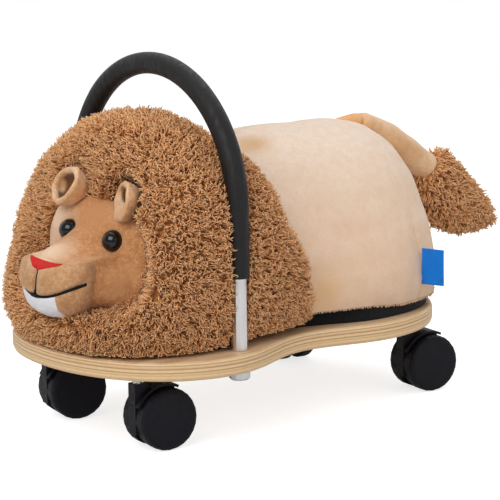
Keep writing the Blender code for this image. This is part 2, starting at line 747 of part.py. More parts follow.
def mane_form():
    rings = []
    for height, width, front, back, power in MANE_SHARES:
        outline = super_arc(width * MANE_HALF_WIDTH, front * MANE_DEPTH, back * MANE_DEPTH,
                            power, PLAN_STEPS, MANE_Y)
        z = DECK_Z + GAP + height * MANE_HEIGHT
        rings.append([(x, y, z) for x, y in outline])
    return sliced(loft(rings), collar_point(), COLLAR_NORMAL)


def on_head(bm):
    """Turns and tilts a form about the middle of the mane, as the head is sewn on."""
    turn = Matrix.Rotation(HEAD_TURN, 3, "Z") @ Matrix.Rotation(HEAD_TILT, 3, "Y")
    bmesh.ops.rotate(bm, verts=bm.verts, matrix=turn, cent=(0, MANE_Y, FACE_Z))
    return bm


def face_form(grow=0.0):
    form = egg(FACE_HALF_WIDTH + grow, FACE_BULGE + grow, FACE_SINK + grow,
               FACE_HALF_HEIGHT + grow, FACE_HALF_HEIGHT + grow, FACE_POWER)
    return moved(form, 0, FACE_Y, FACE_Z)


def muzzle_form(grow=0.0):
    form = egg(MUZZLE_HALF_WIDTH + grow, MUZZLE_FRONT + grow, MUZZLE_BACK + grow,
               MUZZLE_HALF_HEIGHT + grow, MUZZLE_HALF_HEIGHT + grow,
               MUZZLE_POWER, back_power=MUZZLE_BACK_POWER)
    return moved(form, 0, MUZZLE_Y, MUZZLE_Z)


def dish_form():
    form = egg(DISH_HALF_WIDTH, DISH_DEPTH * 2, DISH_DEPTH, DISH_RISE, DISH_DROP, DISH_POWER)
    return moved(form, 0, DISH_Y, FACE_Z)


def ear_form(side, shrink=0.0, front=EAR_HALF_DEPTH):
    form = egg(EAR_HALF_WIDTH - shrink, front, EAR_HALF_DEPTH - shrink,
               EAR_HALF_HEIGHT - shrink, EAR_HALF_HEIGHT - shrink, 2.0, 8, 8)
    turned_about(form, -side * EAR_TURN, "Z")
    return moved(form, side * EAR_SPACING / 2, FACE_Y - EAR_STAND, FACE_Z + EAR_RISE)


def face_depth(x, z):
    """The y of the face's front at a distance x from its middle and z above it."""
    row = (1 - (z / FACE_HALF_HEIGHT) ** FACE_POWER) ** (1 / FACE_POWER)
    across = (1 - (x / FACE_HALF_WIDTH / row) ** FACE_POWER) ** (1 / FACE_POWER)
    return FACE_Y - FACE_BULGE * row * across


def head_piece(name, bm, frame, finish):
    return add_object(name, mesh_from(name, on_head(bm)), frame, finish)


def head_cutter(name, bm, frame):
    return cutter(name, mesh_from(name, on_head(bm)), frame)


def build_head(frame, tan_velour, coral, gloss):
    """The face and its features; returns the rooms that they need in the mane."""
    head_piece("face", face_form(), frame, tan_velour)
    face_room = head_cutter("face_room", face_form(GAP), frame)
    muzzle_room = head_cutter("muzzle_room", muzzle_form(GAP), frame)

    muzzle = sliced(muzzle_form(), (0, MUZZLE_Y, MOUTH_Z), (0, 0, -1))
    boolean(head_piece("muzzle", muzzle, frame, tan_velour), face_room)
    chin = sliced(muzzle_form(-CHIN_SETBACK), (0, MUZZLE_Y, MOUTH_Z - GAP), (0, 0, 1))
    boolean(head_piece("chin", chin, frame, tan_velour), face_room)

    rise = MUZZLE_HALF_HEIGHT * NOSE_RISE_SHARE
    front = MUZZLE_FRONT * math.sqrt(1 - NOSE_RISE_SHARE ** 2)
    nose = egg(NOSE_HALF_WIDTH, NOSE_STAND, MUZZLE_FRONT / 2, NOSE_HALF_HEIGHT, NOSE_HALF_HEIGHT,
               2.0, 8, 6)
    nose = moved(nose, 0, MUZZLE_Y - front, MUZZLE_Z + rise)
    boolean(head_piece("nose", nose, frame, coral), muzzle_room)

    rooms = [head_cutter("face_dish", dish_form(), frame), muzzle_room, face_room]
    for side, name in ((1, "left"), (-1, "right")):
        eye = egg(EYE_RADIUS, EYE_DOME, EYE_DOME, EYE_RADIUS, EYE_RADIUS, 2.0, 8, 8)
        eye_x = side * EYE_SPACING / 2
        moved(eye, eye_x, face_depth(abs(eye_x), EYE_RISE), FACE_Z + EYE_RISE)
        boolean(head_piece("eye_" + name, eye, frame, gloss), face_room)

        ear = head_piece("ear_" + name, ear_form(side), frame, tan_velour)
        boolean(ear, face_room)
        hollow = ear_form(side, EAR_WALL, EAR_ROOM_REACH)
        boolean(ear, head_cutter("ear_hollow_" + name, hollow, frame))
        room = ear_form(side, -2 * GAP, EAR_ROOM_REACH)
        rooms.append(head_cutter("ear_room_" + name, room, frame))
    return rooms


def build_animal(frame, velour, tan_velour, curly, coral, gloss, blue):
    rump = sliced(rump_form(), collar_point(GAP), -COLLAR_NORMAL)
    add_object("rump", mesh_from("rump", rump), frame, velour)

    mane = add_object("mane", mesh_from("mane", mane_form()), frame, curly)
    for room in build_head(frame, tan_velour, coral, gloss):
        boolean(mane, room)
    groove = hoop_tube(DECK_Z - OVERRUN, GRIP_DIAMETER / 2 + GAP * 2, None, 16)
    boolean(mane, cutter("leg_groove", mesh_from("leg_groove", groove), frame))
    boolean(mane, cutter("pad_room", mesh_from("pad_room", pad_form(GAP)), frame))

    build_tail(frame, velour, curly)
    build_label(frame, blue)


def tail_ring(y, z, radius, slope, side_radius=None, steps=12):
    """A ring of points square to the tail, which runs back at the given slope."""
    points = []
    for step in range(steps):
        angle = 2 * math.pi * step / steps
        across = (side_radius or radius) * math.cos(angle)
        up = radius * math.sin(angle)
        points.append((across, y - up * math.sin(slope), z + up * math.cos(slope)))
    return points


def build_tail(frame, velour, curly):
    places = [(TAIL_ROOT_Y + along * TAIL_LENGTH, TAIL_ROOT_Z + rise * TAIL_LENGTH,
               radius * TAIL_END_RADIUS) for along, rise, radius in TAIL_SHARES]
    joint = (TAIL_JOINT_Y - GAP * math.cos(TUFT_SLOPE), TAIL_JOINT_Z - GAP * math.sin(TUFT_SLOPE),
             TAIL_END_RADIUS)
    rings = []
    for i, (y, z, radius) in enumerate(places):
        before = places[max(i - 1, 0)]
        after = places[i + 1] if i + 1 < len(places) else joint
        slope = math.atan2(after[1] - before[1], after[0] - before[0])
        rings.append(tail_ring(y, z, radius, slope))
    rings.append(tail_ring(*joint, TUFT_SLOPE))
    tail = add_object("tail", mesh_from("tail", loft(rings)), frame, velour)
    rump_room = mesh_from("rump_room", rump_form(GAP))
    boolean(tail, cutter("rump_room", rump_room, frame))

    rings = []
    for along, top, bottom in TUFT_SHARES:
        middle, radius = (top + bottom) / 2, (top - bottom) / 2
        y = TAIL_JOINT_Y + TUFT_LENGTH * (along * math.cos(TUFT_SLOPE)
                                          - middle * math.sin(TUFT_SLOPE))
        z = TAIL_JOINT_Z + TUFT_LENGTH * (along * math.sin(TUFT_SLOPE)
                                          + middle * math.cos(TUFT_SLOPE))
        widest = max(t - b for _, t, b in TUFT_SHARES) / 2
        rings.append(tail_ring(y, z, radius * TUFT_LENGTH, TUFT_SLOPE,
                               TUFT_THICKNESS / 2 * math.sqrt(radius / widest)))
    add_object("tail_tuft", mesh_from("tail_tuft", loft(rings)), frame, curly)


def build_label(frame, blue):
    low, high = DECK_Z + LABEL_RISE, DECK_Z + LABEL_RISE + LABEL_HEIGHT
    near = RUMP_HALF_WIDTH + GAP
    outline = [(near, -LABEL_THICKNESS / 2), (near + LABEL_WIDTH, -LABEL_THICKNESS / 2),
               (near + LABEL_WIDTH, LABEL_THICKNESS / 2), (near, LABEL_THICKNESS / 2)]
    form = turned_about(prism(outline, low, high), LABEL_TURN, "Z")
    add_object("side_label", mesh_from("side_label", form), frame, blue, (0, RUMP_ROUND_Y, 0))


def centre_frame(frame):
    """Moves the frame so that the box of all pieces is centred on y = 0."""
    bpy.context.view_layer.update()
    reach = []
    for piece in bpy.context.scene.objects:
        if piece.type == "MESH" and not piece.hide_render:
            reach += [(piece.matrix_world @ vertex.co).y for vertex in piece.data.vertices]
    frame.location.y = -(min(reach) + max(reach)) / 2


def main():
    clear_scene()
    wood = material("birch_plywood", (0.68, 0.46, 0.24), 0.5)
    steel = material("satin_steel", (0.62, 0.64, 0.66), 0.3, 1.0)
    zinc = material("zinc_plate", (0.70, 0.72, 0.74), 0.25, 1.0)
    foam = material("black_foam", (0.012, 0.011, 0.013), 0.7)
    plastic = material("black_nylon", (0.014, 0.014, 0.017), 0.4)
    black = material("black_cloth", (0.010, 0.010, 0.011), 0.9)
    velour = material("pale_velour", (0.76, 0.57, 0.37), 0.85)
    tan_velour = material("tan_velour", (0.66, 0.40, 0.20), 0.85)
    curly = material("curly_fleece", (0.45, 0.22, 0.09), 0.95)
    coral = material("coral_velour", (0.75, 0.06, 0.04), 0.8)
    gloss = material("black_gloss", (0.004, 0.004, 0.005), 0.08)
    blue = material("blue_ribbon", (0.0, 0.14, 0.50), 0.7)

    frame = make_empty("ride_on_frame", (0, 0, 0))
    build_board(frame, wood)
    build_tee_nuts(frame, steel)
    for name, (side, end, turn) in CASTERS.items():
        build_caster(name, frame, side, end, turn, plastic, steel)
    build_handle(frame, steel, foam, zinc)
    build_base(frame, black, wood, steel)
    build_animal(frame, velour, tan_velour, curly, coral, gloss, blue)
    centre_frame(frame)


main()
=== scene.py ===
"""Looks for the plush ride-on animal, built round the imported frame.

Soft pieces are built in the board's own frame, whose y = 0 lies across the board's
waist, and SHIFT carries them to the row's frame. The pieces of the head are built
straight and level in that frame, and HEAD then turns and tilts them together.
All lengths are in metres.
"""

import math

import bmesh
import bpy
import numpy as np
from mathutils import Matrix, Vector


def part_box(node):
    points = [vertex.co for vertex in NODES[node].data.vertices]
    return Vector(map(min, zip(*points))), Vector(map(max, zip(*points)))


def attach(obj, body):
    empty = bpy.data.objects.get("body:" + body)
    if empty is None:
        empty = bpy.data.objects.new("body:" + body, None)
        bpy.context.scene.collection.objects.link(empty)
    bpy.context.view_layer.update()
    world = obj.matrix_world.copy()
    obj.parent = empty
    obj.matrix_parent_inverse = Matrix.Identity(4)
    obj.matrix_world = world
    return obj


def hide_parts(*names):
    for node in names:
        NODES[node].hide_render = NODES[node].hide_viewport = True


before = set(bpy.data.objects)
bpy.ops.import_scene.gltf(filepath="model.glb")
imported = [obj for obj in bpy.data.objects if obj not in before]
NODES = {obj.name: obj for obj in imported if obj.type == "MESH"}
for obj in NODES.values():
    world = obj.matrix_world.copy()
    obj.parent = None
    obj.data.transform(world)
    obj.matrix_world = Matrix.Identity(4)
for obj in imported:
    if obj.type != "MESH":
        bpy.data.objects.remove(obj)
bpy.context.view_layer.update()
BODY = "ride_on"
MM = 0.001

# Camera, fitted to the photograph
CAMERA_PLACE = (1.15243, -0.98209, 0.40230)
CAMERA_RIGHT = (0.63574066, 0.77181517, -0.0116261)
CAMERA_UP = (-0.13099522, 0.12271884, 0.98375827)
CAMERA_BACK = (0.7607063, -0.62389217, 0.17912145)
BACKDROP_DIRECTION = (-0.76, 0.62, -0.18)
CAMERA_LENS_MM = 126.96
CAMERA_SENSOR_MM = 36.0
FLOOR_RADIUS = 3.0
FLOOR_GREY = 0.62
FLOOR_GLOW = 0.74
# Area lights: name, place, size and watts; all aim at the toy's middle
LIGHTS = (
    ("key", (0.75, -1.85, 1.6), (1.7, 1.3), 27),
    ("fill", (1.9, 0.3, 0.9), (1.6, 1.2), 6),
    ("top", (-0.2, 0.4, 1.9), (1.8, 1.8), 11),
)
LIGHT_AIM = Vector((0, 0, 0.15))

# Places that come from the frame
BOARD_LOW, BOARD_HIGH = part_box("base_board")
GRIP_LOW, GRIP_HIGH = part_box("foam_grip")
BOARD_FRONT_Y = -0.2120
SHIFT = Matrix.Translation((0, BOARD_LOW.y - BOARD_FRONT_Y, 0))
DECK_Z = BOARD_HIGH.z
PAD_TOP_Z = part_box("base_pad")[1].z
SKIN_GAP = 0.0003

# Handle hoop, with the rings of its ends as inset from the outside and rise, in mm
HANDLE_Y = -0.1003
GRIP_RADIUS = (GRIP_HIGH.y - GRIP_LOW.y) / 2
HOOP_RADIUS = GRIP_HIGH.x - GRIP_RADIUS
HOOP_CENTRE_Z = GRIP_HIGH.z - GRIP_HIGH.x
TUBE_RADIUS = 0.00635
GRIP_END_RINGS = ((0.15, -0.5), (0.5, -0.12), (1.1, 0.0))
BORE_RINGS = ((0.3, 0.0), (0.2, -3.0))

# Mane: share of the height, then shares of half width, depth in front and depth behind,
# and the power of the plan's superellipse
MANE_Y = -0.110
MANE_HALF_WIDTH = 0.114
MANE_DEPTH = 0.101
MANE_HEIGHT = 0.182
MANE_SHARES = (
    (0.003, 0.90, 0.98, 1.60, 2.3),
    (0.12, 0.97, 1.04, 1.60, 2.6),
    (0.23, 1.00, 0.95, 1.35, 3.2),
    (0.36, 1.00, 0.79, 1.05, 4.3),
    (0.50, 0.99, 0.69, 0.80, 4.8),
    (0.635, 0.94, 0.58, 0.68, 5.2),
    (0.745, 0.855, 0.53, 0.60, 4.4),
    (0.825, 0.745, 0.505, 0.50, 3.2),
    (0.88, 0.64, 0.475, 0.38, 2.6),
    (0.945, 0.465, 0.41, 0.25, 2.2),
    (0.98, 0.30, 0.28, 0.16, 2.0),
    (1.0, 0.110, 0.12, 0.08, 2.0),
)
COLLAR_Y = -0.010
COLLAR_LEAN = math.radians(17.8)
COLLAR_NORMAL = np.array((0, math.cos(COLLAR_LEAN), math.sin(COLLAR_LEAN)))
COLLAR_POINT = np.array((0, COLLAR_Y, DECK_Z))

# Fur
PILE_INSET = 0.0058
PILE_LENGTH = 0.0078
LOCK_COUNT = 18500
STRANDS_PER_LOCK = 3
FUR_PIECES = 9
STRAND_SIDES = 3
STRAND_BEND = 1.25
STRAND_SWING = 0.26
# How far roots may pass the collar: least, more at a height, that height and its reach
FLARE_LEAST, FLARE_MORE, FLARE_Z, FLARE_REACH = 0.003, 0.017, 0.083, 0.015
# The curls' lower edge: least gap to the deck, then y, run and rise of each step up
FUR_GAP = 3.0 * MM
FUR_STEPS = ((-0.135, 0.06, 4 * MM), (-0.025, 0.03, 7 * MM))
# Where curls part round the face: middle, distance to the rim, its reach and its depth
PARTING_Z, PARTING_RIM, PARTING_REACH, PARTING_DEPTH = 0.140, 0.062, 0.030, 0.02
TUFT_INSET = 0.0068
TUFT_LOCK_COUNT = 1150
JOINT_STRAND_COUNT = 156
HEM_STRAND_COUNT = 2600

# Head
HEAD_CENTRE = Vector((0, -0.110, 0.150))
HEAD_TURN = math.radians(8)
HEAD_TILT = math.radians(5)
FACE_Y = -0.1615
FACE_Z = 0.150
FACE_HALF_WIDTH = 0.056
FACE_HALF_HEIGHT = 0.047
FACE_BULGE = 0.0117
FACE_SINK = 0.016
FACE_POWER = 2.5
FOREHEAD_HEIGHT = 0.0445
CHEEK_DROP = 0.041
CHEEK_POWER = 1.25
# The hollow in the mane round the face
DISH_HALF_WIDTH = 0.085
DISH_RISE = 0.050
DISH_DROP = 0.038
DISH_DEPTH = 0.042
DISH_POWER = 3.0
# Muzzle
MUZZLE_Y = -0.2035
MUZZLE_Z = 0.1323
MUZZLE_HALF_WIDTH = 0.0356
MUZZLE_FRONT = 0.0264
MUZZLE_BACK = 0.036
MUZZLE_HALF_HEIGHT = 0.028
MUZZLE_RISE = 0.0300
MUZZLE_POWER = 2.3
MUZZLE_FAR_POWER = 1.95
MUZZLE_TOP_POWER = 4.5
MUZZLE_BACK_POWER = 1.5
MUZZLE_CLEAR_POWER = 2.1
MOUTH_REACH = 0.0350
MOUTH_Z = 0.1250
MOUTH_CURVE = 10.9
CHIN_PATCH_X = 0.0195
CHIN_BELOW_MOUTH = 0.010
PAD_X, PAD_Z = 0.016, 0.139
PHILTRUM_TOP_Z = 0.1500
NOSE_DENT_Z = 0.1475
NOSE_LINE_TOP_Z = 0.1466
# Nose
NOSE_HALF_WIDTH = 0.0175
NOSE_LEAN = 0.0042
NOSE_TOP_Z = 0.1526
NOSE_TOP_Y = -0.2195
NOSE_LOW_Z = 0.1448
NOSE_LOW_Y = -0.2275
NOSE_BULGE = 0.8 * MM
NOSE_RIM = 0.9 * MM
# Bridge: height and how far it stands out of the face
BRIDGE_PROFILE = ((0.150, 0.0590), (0.1547, 0.0560), (0.1600, 0.0450), (0.1650, 0.0310),
                  (0.1725, 0.0180), (0.1820, 0.0105), (0.1920, 0.0050), (0.210, 0.0))
BRIDGE_FOOT_Z = 0.152
BRIDGE_HALF_WIDTH = 0.0255
BRIDGE_DROOP = 0.012
# Seam along the muzzle's top edge, and the cheeks beside it
SHELF_Z = 0.1541
SHELF_NEAR_CLIMB, SHELF_FAR_FALL = 0.11, 0.45
SHELF_RISE = 0.0048
SHELF_REACH = 0.0580
CROWD_X = 0.046
CHEEK_X = 0.0345
CHEEK_REACH = 0.0325
CHEEK_SLOPE = 1.85
CHEEK_Z = 0.134
CHEEK_RISE = 0.036
CHEEK_SWELL = 0.0060
CHEEK_SWELL_WIDTH = 0.013
CHEEK_TURN_X, CHEEK_TURN_REACH = 0.030, 0.009
FACE_FOOT_Z, FACE_FOOT_RISE = 0.098, 0.030
# Eyes: side, name and how far each sits off its mirrored place; the back of an eye as
# share of its radius and depth in mm
EYE_X = 0.0257
EYE_Z = 0.1665
EYE_RADIUS = 0.0088
EYE_DOME = 0.0088
EYE_TURN = math.radians(8)
EYE_SINK = 2.2 * MM
EYES = ((-1, "right", 0.0050), (1, "left", 0.0018))
EYE_BACK = ((1.0, -1.0), (0.98, -2.0), (0.85, -3.4), (0.5, -4.2))
# Ears: side, name, turn, pitch and roll in degrees, depth, middle of the opening, half
# sizes of the outside and of the hollow, and how far the hollow sits above the middle
EARS = (
    (1, "left", 27, 12, 12, 0.0200, (0.0345, -0.1715, 0.1985), (0.0152, 0.0166),
     (0.0112, 0.0060), 0.0060),
    (-1, "right", 20, 24, -12, 0.0250, (-0.0305, -0.1725, 0.2010), (0.0200, 0.0162),
     (0.0158, 0.0108), 0.0),
)
EAR_X = 0.0340
EAR_Z = 0.2000
EAR_ROOM = 0.0240
EAR_BACK_Y = -0.1500
EAR_RIM = 2.6 * MM
HOLLOW_DEPTH = 0.0125
FUR_EAR_PLACE = (0.0335, -0.1660, 0.200)
FUR_EAR_RADIUS = 0.0185

# Rump: share of the height, then shares of half width and of depth behind
RUMP_HALF_WIDTH = 0.108
RUMP_ROUND_Y = 0.078
RUMP_HEIGHT = 0.1592
RUMP_BELLY_HEIGHT = 0.035
RUMP_SPAN = RUMP_HEIGHT - RUMP_BELLY_HEIGHT
RUMP_WAIST_DRAW = 0.012
REAR_LOBE_Y = 0.058
WAIST_Y = -0.025
NECK_Y = COLLAR_Y - RUMP_HEIGHT * math.tan(COLLAR_LEAN)
NECK_DIP = 0.0165
NECK_DIP_REACH = 0.075
RUMP_LOW_SHARES = ((0.0, 0.965, 0.930), (0.30, 0.985, 0.965), (0.62, 0.998, 0.955))
RUMP_SHARES = (
    (0.0, 1.0, 0.920),
    (0.16, 0.97, 0.878),
    (0.31, 0.915, 0.861),
    (0.42, 0.865, 0.824),
    (0.53, 0.805, 0.796),
    (0.63, 0.745, 0.752),
    (0.73, 0.665, 0.68),
    (0.82, 0.57, 0.60),
    (0.90, 0.45, 0.48),
    (0.96, 0.30, 0.33),
    (1.0, 0.06, 0.08),
)
PANEL_SEAM_ANGLE = math.radians(15.5)
PUCKER_PITCH = 0.011
# Beside the seam: offset from it, width and height of its groove, its pull and its roll
SEAM_GROOVE = (0.0, 1.1 * MM, -1.3 * MM)
SEAM_PULL = (0.0, 5 * MM, -0.7 * MM)
SEAM_ROLL = (0.022, 0.016, 1.6 * MM)
SEAM_END_SHARE, SEAM_FADE_SHARE = 0.34, 0.16
# The hem hangs over the pad, more from LIP_Y back
LIP_LEAST = 0.0008
LIP_DROP = 0.0036
LIP_Y, LIP_RUN = 0.030, 0.055
# Rings of the turned-in hem: inset in mm and share of the drop
LIP_RINGS = ((2.4, 0.0), (2.3, 0.8), (1.2, 1.0), (0.2, 0.75))

# Tail: shares of its length along and up, and share of its end radius
TAIL_ROOT_Y = 0.098
TAIL_ROOT_Z = 0.23285
TAIL_LENGTH = 0.116
TAIL_END_RADIUS = 0.013
TAIL_FOLD_SHARE = 0.235
# The fold's lean along x and z, its depth and width, and the swell behind it
FOLD_LEAN_X, FOLD_LEAN_Z = 0.20, 0.45
FOLD_DEPTH, FOLD_WIDTH = 4.2 * MM, 1.6 * MM
SWELL_HEIGHT, SWELL_WIDTH, SWELL_BEHIND = 1.0 * MM, 5 * MM, 0.008
TAIL_SHARES = (
    (-0.07, -0.03, 0.33),
    (0.06, -0.010, 0.44),
    (0.25, -0.014, 0.62),
    (0.50, -0.112, 0.86),
    (0.73, -0.267, 1.02),
    (0.98, -0.42, 1.0),
)
# Tuft: share of its length, then the top and the bottom as shares of it
TUFT_LENGTH = 0.105
TUFT_SLOPE = math.radians(-38)
TUFT_ALONG = np.array((0, math.cos(TUFT_SLOPE), math.sin(TUFT_SLOPE)))
TUFT_UP = np.array((0, -math.sin(TUFT_SLOPE), math.cos(TUFT_SLOPE)))
TUFT_THICKNESS = 0.043
TUFT_SHARES = (
    (0.0, 0.125, -0.125),
    (0.05, 0.215, -0.25),
    (0.22, 0.245, -0.33),
    (0.42, 0.235, -0.375),
    (0.60, 0.22, -0.33),
    (0.77, 0.20, -0.22),
    (0.90, 0.17, -0.10),
    (0.975, 0.13, -0.01),
)
ACROSS = np.array((1, 0, 0))

# Label
LABEL_NEAR = 0.1083
LABEL_WIDTH = 0.0193
LABEL_LOW = 0.1022
LABEL_HIGH = 0.1332
LABEL_TURN = math.radians(15)
LABEL_SEWN_IN = 2 * MM
LABEL_HALF_THICK = 0.55 * MM
LABEL_WAVE = 0.35 * MM
LABEL_FOLD_SHARE = 0.94

# Edges
MOULDED_EDGE = 0.4 * MM
PAD_EDGE = 2.4 * MM

# Places of folds and tints, in the board's frame; at the two folds the tint is painted shade
TAIL_STUB = (0.0, 0.110, 0.2380)
COLLAR_FOLD = (0.026, -0.020, 0.2250)
LOW_FOLD = (0.0985, -0.003, 0.107)
CREASES = ((COLLAR_FOLD, 2.2 * MM, 0.011), (LOW_FOLD, 1.6 * MM, 0.014))

# Colours; a set of three is base, deep and bright
PALE, PALE_DEEP, PALE_BRIGHT = (0.79, 0.555, 0.385), (0.74, 0.495, 0.325), (0.83, 0.62, 0.46)
# Paler colour that the rump's upward faces take, as painted light from above
PALE_LIT_TOP = (0.81, 0.695, 0.600)
TAN = ((0.62, 0.300, 0.125), (0.48, 0.205, 0.078), (0.74, 0.415, 0.205))
TAIL_TAN = ((0.78, 0.475, 0.255), (0.62, 0.330, 0.150), (0.84, 0.60, 0.39))
MUZZLE_TAN = ((0.58, 0.315, 0.155), (0.46, 0.225, 0.098), (0.68, 0.42, 0.235))
EAR_TAN = ((0.76, 0.445, 0.225), (0.62, 0.315, 0.140), (0.86, 0.58, 0.34))
# Orange for painted shade in the crease at the collar
ORANGE_CREASE_SHADE = (0.64, 0.38, 0.175)
# Cream for painted light where the face, muzzle, tail and ears are lit
CREAM_PAINTED_LIGHT = (0.82, 0.60, 0.42)
CHIN_WHITE = (0.78, 0.77, 0.80)
# Brown lining of the ears' hollows, darkened with painted shade for the inside of the cup
EAR_LINING_AND_SHADE = (0.20, 0.085, 0.035)
# Curls: painted shade at the root, painted highlight at the tip
FUR_ROOT_SHADE, FUR_MIDDLE = (0.52, 0.232, 0.086), (0.82, 0.430, 0.180)
FUR_TIP_HIGHLIGHT, FUR_SHADE = (0.98, 0.64, 0.365), (0.60, 0.272, 0.102)
PLY_LIGHT, PLY_DARK, PLY_AMBER = (0.82, 0.575, 0.32), (0.40, 0.225, 0.10), (0.66, 0.42, 0.20)
PLY_FACE = ((0.3, (0.54, 0.340, 0.175)), (0.5, (0.68, 0.465, 0.270)), (0.72, (0.76, 0.555, 0.350)))
# The plies from the bottom up, as share of the thickness and colour
PLIES = ((0.0, PLY_AMBER), (0.26, PLY_LIGHT), (0.36, PLY_AMBER), (0.42, PLY_LIGHT),
         (0.48, PLY_DARK), (0.53, PLY_LIGHT), (0.62, PLY_LIGHT), (0.67, PLY_DARK),
         (0.72, PLY_AMBER), (0.80, PLY_LIGHT), (0.85, PLY_DARK), (0.90, PLY_LIGHT),
         (1.0, PLY_LIGHT))


# Shapes

def ring_angles(count):
    return np.linspace(0, 2 * np.pi, count + 1)[:-1]


def unit(vectors):
    return vectors / (np.linalg.norm(vectors, axis=-1, keepdims=True) + 1e-12)


def ease(share):
    return (1 - np.cos(np.pi * np.clip(share, 0, 1))) / 2


def bell(distance, width):
    return np.exp(-(distance / width) ** 2)


def power_of(value, exponent):
    return np.sign(value) * np.abs(value) ** exponent


def room(power, *reaches):
    """1 in the middle of a superellipse, 0 on it; each reach is an offset and a half size."""
    return 1 - sum(np.abs(offset / size) ** power for offset, size in reaches)


def smooth_max(first, second, soft, reach):
    """The larger of two values, rounded where they meet without rising there."""
    joined = np.logaddexp(first / soft, second / soft) * soft
    return joined - soft * math.log(2) * bell(first - second, reach)


def curve_through(table, places):
    """The columns of a table, read smoothly at places along its first column."""
    table = np.asarray(table, float)
    at, values = table[:, 0], table[:, 1:]
    slope = np.gradient(values, at, axis=0)
    i = np.clip(np.searchsorted(at, places, side="right") - 1, 0, len(at) - 2)
    width = (at[i + 1] - at[i])[:, None]
    t = (places - at[i])[:, None] / width
    bend = width * t * (1 - t) * ((1 - t) * slope[i] - t * slope[i + 1])
    return values[i] + (3 * t ** 2 - 2 * t ** 3) * (values[i + 1] - values[i]) + bend


def even_ring(points, count):
    """A closed plan outline walked again in steps of equal length."""
    closed = np.vstack([points, points[:1]])
    run = np.concatenate([[0], np.cumsum(np.linalg.norm(np.diff(closed, axis=0), axis=1))])
    places = np.linspace(0, run[-1], count + 1)[:-1]
    return np.stack([np.interp(places, run, closed[:, k]) for k in range(2)], 1)


def super_ring(half_width, front, back, power, count):
    """A superellipse in plan that starts at +X and runs by way of +Y."""
    angle = ring_angles(1440)
    x = half_width * power_of(np.cos(angle), 2 / power)
    y = np.where(np.sin(angle) > 0, back, front) * power_of(np.sin(angle), 2 / power)
    return even_ring(np.stack([x, y], 1), count)


def points_at(x, y, z):
    return np.stack(np.broadcast_arrays(x, y, z), -1)


def wavy(points, size, seed):
    """Smooth uneven values from -1 to 1 over points, with humps about size across."""
    rng = np.random.default_rng(seed)
    total = np.zeros(len(points))
    waves = 7
    for _ in range(waves):
        direction = rng.normal(size=3)
        direction *= 2 * np.pi / size * rng.uniform(0.5, 1.3) / np.linalg.norm(direction)
        total += np.sin(points @ direction + rng.uniform(0, 2 * np.pi))
    return total / math.sqrt(waves)


def configured(thing, **settings):
    for key, value in settings.items():
        setattr(thing, key, value)
    return thing


def linked(name, data, **settings):
    """A new object in the scene, with its attributes set."""
    made = bpy.data.objects.new(name, data)
    bpy.context.scene.collection.objects.link(made)
    return configured(made, **settings)


def add_object(name, mesh, finish, place=SHIFT):
    """A smooth object that rides on the toy's main body."""
    mesh.shade_smooth()
    mesh.materials.append(finish)
    piece = linked(name, mesh, matrix_world=place)
    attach(piece, BODY)
    return piece


def add_mesh(name, points, faces, finish, place=SHIFT):
    mesh = bpy.data.meshes.new(name)
    mesh.from_pydata(np.asarray(points).tolist(), [], faces)
    bm = bmesh.new()
    bm.from_mesh(mesh)
    bmesh.ops.remove_doubles(bm, verts=bm.verts, dist=0.01 * MM)
    bmesh.ops.dissolve_degenerate(bm, edges=bm.edges, dist=0.001 * MM)
    bmesh.ops.recalc_face_normals(bm, faces=bm.faces)
    bm.to_mesh(mesh)
    bm.free()
    return add_object(name, mesh, finish, place)


def skin_faces(rows, around, loop=False):
    """Faces between rows of points that are closed rings."""
    ring = np.arange(around)
    after = (ring + 1) % around
    faces = []
    for row in range(rows if loop else rows - 1):
        low, high = row * around, (row + 1) % rows * around
        faces.append(np.stack([low + ring, low + after, high + after, high + ring], 1))
    return np.concatenate(faces).tolist()


def skin(name, rows, finish, place=SHIFT, loop=False):
    """A closed body over rows of points; loop joins the last row to the first."""
    rows = np.asarray(rows)
    count, around = rows.shape[:2]
    points = rows.reshape(-1, 3)
    faces = skin_faces(count, around, loop)
    if not loop:
        points = np.vstack([points, rows[0].mean(0), rows[-1].mean(0)])
        first, last, base = len(points) - 2, len(points) - 1, (count - 1) * around
        for i in range(around):
            k = (i + 1) % around
            faces += [(first, k, i), (last, base + i, base + k)]
    return add_mesh(name, points, faces, finish, place)


def cut_back(piece, point, normal):
    """Removes what lies past a plane, given in the board's frame, and closes the cut."""
    bm = bmesh.new()
    bm.from_mesh(piece.data)
    cut = bmesh.ops.bisect_plane(bm, geom=bm.verts[:] + bm.edges[:] + bm.faces[:],
                                 dist=0.001 * MM, plane_co=Vector(point), plane_no=Vector(normal),
                                 clear_outer=True)
    rim = [item for item in cut["geom_cut"] if isinstance(item, bmesh.types.BMEdge)]
    bmesh.ops.holes_fill(bm, edges=rim)
    bmesh.ops.triangulate(bm, faces=[f for f in bm.faces if len(f.verts) > 4])
    bmesh.ops.recalc_face_normals(bm, faces=bm.faces)
    bm.to_mesh(piece.data)
    bm.free()
    piece.data.shade_smooth()
    piece.data.set_sharp_from_angle(angle=math.radians(50))


def round_edges(piece, width, segments, **settings):
    configured(piece.modifiers.new("edge_round", "BEVEL"), width=width, segments=segments,
               limit_method="ANGLE", **settings)


def grid_normals(rows):
    """Unit normals of a grid of points that is closed along its rows."""
    across = np.roll(rows, -1, axis=1) - np.roll(rows, 1, axis=1)
    return unit(np.cross(across, np.gradient(rows, axis=0)))


def turned_out(normals, rows, centre):
    """Normals made to point away from a centre."""
    return normals * np.sign(((rows - centre) * normals).sum(-1, keepdims=True))


def smoothed(rows, turns):
    """A grid with each inner point drawn towards the mean of its four neighbours."""
    rows = rows.copy()
    for _ in range(turns):
        near = (np.roll(rows, 1, axis=1) + np.roll(rows, -1, axis=1))[1:-1]
        rows[1:-1] = (rows[1:-1] * 2 + (near + rows[:-2] + rows[2:]) / 2) / 4
    return rows


